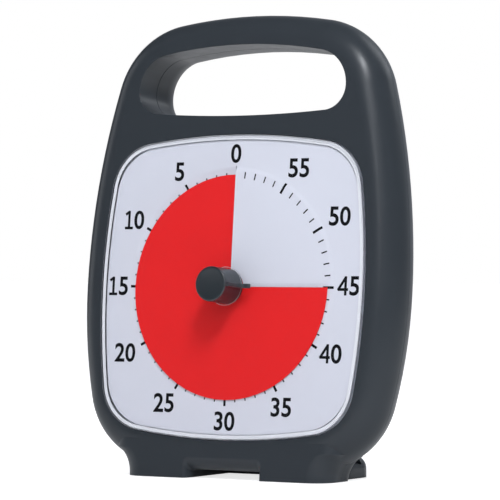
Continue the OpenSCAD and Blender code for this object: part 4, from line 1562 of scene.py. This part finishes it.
@dataclass
class Studio:
    """Camera, lamps, floor and background."""

    face: FaceFrame
    azimuth: float = 31.37
    distance: float = 1.1915
    aim_right: float = 0.00749
    aim_up: float = 0.01406
    lens_mm: float = 225.4
    sensor_mm: float = 36.0
    lamps: tuple[Lamp, ...] = (Lamp("key", 27, 34, 0.9, (0.6, 0.6), 0.5),
                               Lamp("streak", 28, 31, 0.9, (0.09, 0.75), 1.1, roll=-35),
                               Lamp("streak_top", 41, 48, 0.9, (0.16, 0.3), 4.1, roll=-35),
                               Lamp("left_fill", -86, 12, 1.0, (0.5, 0.7), 0.9),
                               Lamp("rear_rim", 152, 40, 0.9, (0.4, 0.6), 1.2))
    floor_half: float = 6.0
    floor_greys: tuple[float, float] = (0.80, 0.82)
    floor_glow: float = 0.75
    floor_in_gloss: float = 0.2
    ambient: float = 0.45
    ambient_colour: tuple[float, ...] = (0.93, 0.95, 1.0, 1)
    gloss_colour: tuple[float, ...] = (0.86, 0.91, 1.0, 1)
    gloss_front: float = 0.03
    gloss_back: float = 0.55

    def build(self) -> None:
        """Sets up everything around the timer."""
        bpy.context.scene.view_settings.view_transform = "Standard"
        self.camera()
        for lamp in self.lamps:
            lamp.add()
        self.floor()
        self.world()

    def camera(self) -> None:
        """Adds the camera at the viewing angle."""
        turn = math.radians(self.azimuth)
        forward = Vector((-math.sin(turn), math.cos(turn), 0))
        right = Vector((math.cos(turn), math.sin(turn), 0))
        up = Vector((0, 0, 1))
        data = bpy.data.cameras.new("view")
        data.lens = self.lens_mm
        data.sensor_width = self.sensor_mm
        data.clip_end = 20.0
        item = in_scene("view", data)
        place = self.face.origin + right * self.aim_right + up * self.aim_up - forward * self.distance
        item.matrix_world = Matrix.Translation(place) @ Matrix((right, up, -forward)).transposed().to_4x4()
        bpy.context.scene.camera = item

    def floor(self) -> None:
        """Adds the pale floor, which keeps a faint shadow."""
        bm = bmesh.new()
        bmesh.ops.create_grid(bm, x_segments=2, y_segments=2, size=self.floor_half)
        item = in_scene("floor", mesh_of("floor", bm))
        graph = Surface("floor_white")
        dark, light = ((grey, grey, grey) for grey in self.floor_greys)
        graph.link(graph.between(graph.noise(400.0), dark, light), "Base Color")
        graph.set(Roughness=0.9, Specular_IOR_Level=0.0)
        shaded = graph.shader.outputs[0]
        glow = graph.add("ShaderNodeEmission", Color=(1, 1, 1, 1), Strength=self.floor_glow)
        both = graph.add("ShaderNodeAddShader", in0=shaded, in1=glow.outputs[0])
        mixed = graph.add("ShaderNodeMixShader", in0=self.seen(graph), in1=shaded, in2=both.outputs[0])
        graph.tree.links.new(mixed.outputs[0], graph.output.inputs["Surface"])
        item.data.materials.append(graph.material)

    def seen(self, graph: Graph) -> bpy.types.NodeSocket:
        """Tells how much of the floor's glow a ray shows.

        Args:
            graph: The floor's nodes.

        Returns:
            One for rays from the camera or through a clear piece, and less for a gloss.
        """
        path = graph.add("ShaderNodeLightPath").outputs
        gloss = graph.calc("MULTIPLY", path["Is Glossy Ray"], self.floor_in_gloss)
        first = graph.calc("MAXIMUM", path["Is Camera Ray"], gloss)
        return graph.calc("MAXIMUM", first, path["Is Transmission Ray"])

    def world(self) -> None:
        """Lights the scene softly; the view is white, and gloss finds white behind and grey in front."""
        world = bpy.data.worlds.new("studio")
        world.use_nodes = True
        bpy.context.scene.world = world
        graph = Graph(world.node_tree)
        soft = graph.tree.nodes["Background"]
        soft.inputs["Color"].default_value = self.ambient_colour
        soft.inputs["Strength"].default_value = self.ambient
        path = graph.add("ShaderNodeLightPath").outputs
        place = graph.add("ShaderNodeTexCoord").outputs["Generated"]
        depth = graph.add("ShaderNodeSeparateXYZ", in0=place).outputs["Y"]
        fade = graph.add("ShaderNodeMapRange", Value=depth, From_Min=0.5, From_Max=1.0,
                         To_Min=self.gloss_front, To_Max=self.gloss_back)
        shown = graph.add("ShaderNodeBackground", Color=self.gloss_colour, Strength=fade.outputs[0])
        shine = graph.calc("MAXIMUM", path["Is Glossy Ray"], path["Is Transmission Ray"])
        mix = graph.add("ShaderNodeMixShader", in0=shine, in1=soft.outputs[0], in2=shown.outputs[0])
        white = graph.add("ShaderNodeBackground", Color=(1, 1, 1, 1))
        view = graph.add("ShaderNodeMixShader", in0=path["Is Camera Ray"], in1=mix.outputs[0],
                         in2=white.outputs[0])
        graph.tree.links.new(view.outputs[0], graph.tree.nodes["World Output"].inputs[0])


def main() -> None:
    """Builds the scene."""
    logging.basicConfig(level=logging.INFO, format="%(name)s: %(message)s")
    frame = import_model()
    face = FaceFrame.from_joints(frame["joints"])
    finishes = Finishes()
    finishes.dress_nodes(frame["nodes"])
    Studio(face).build()
    Housing(face, finishes).build()
    Window(face, finishes).build()
    Dial(face, finishes).build()
    Knob(face, finishes).build()


if __name__ == "__main__":
    main()
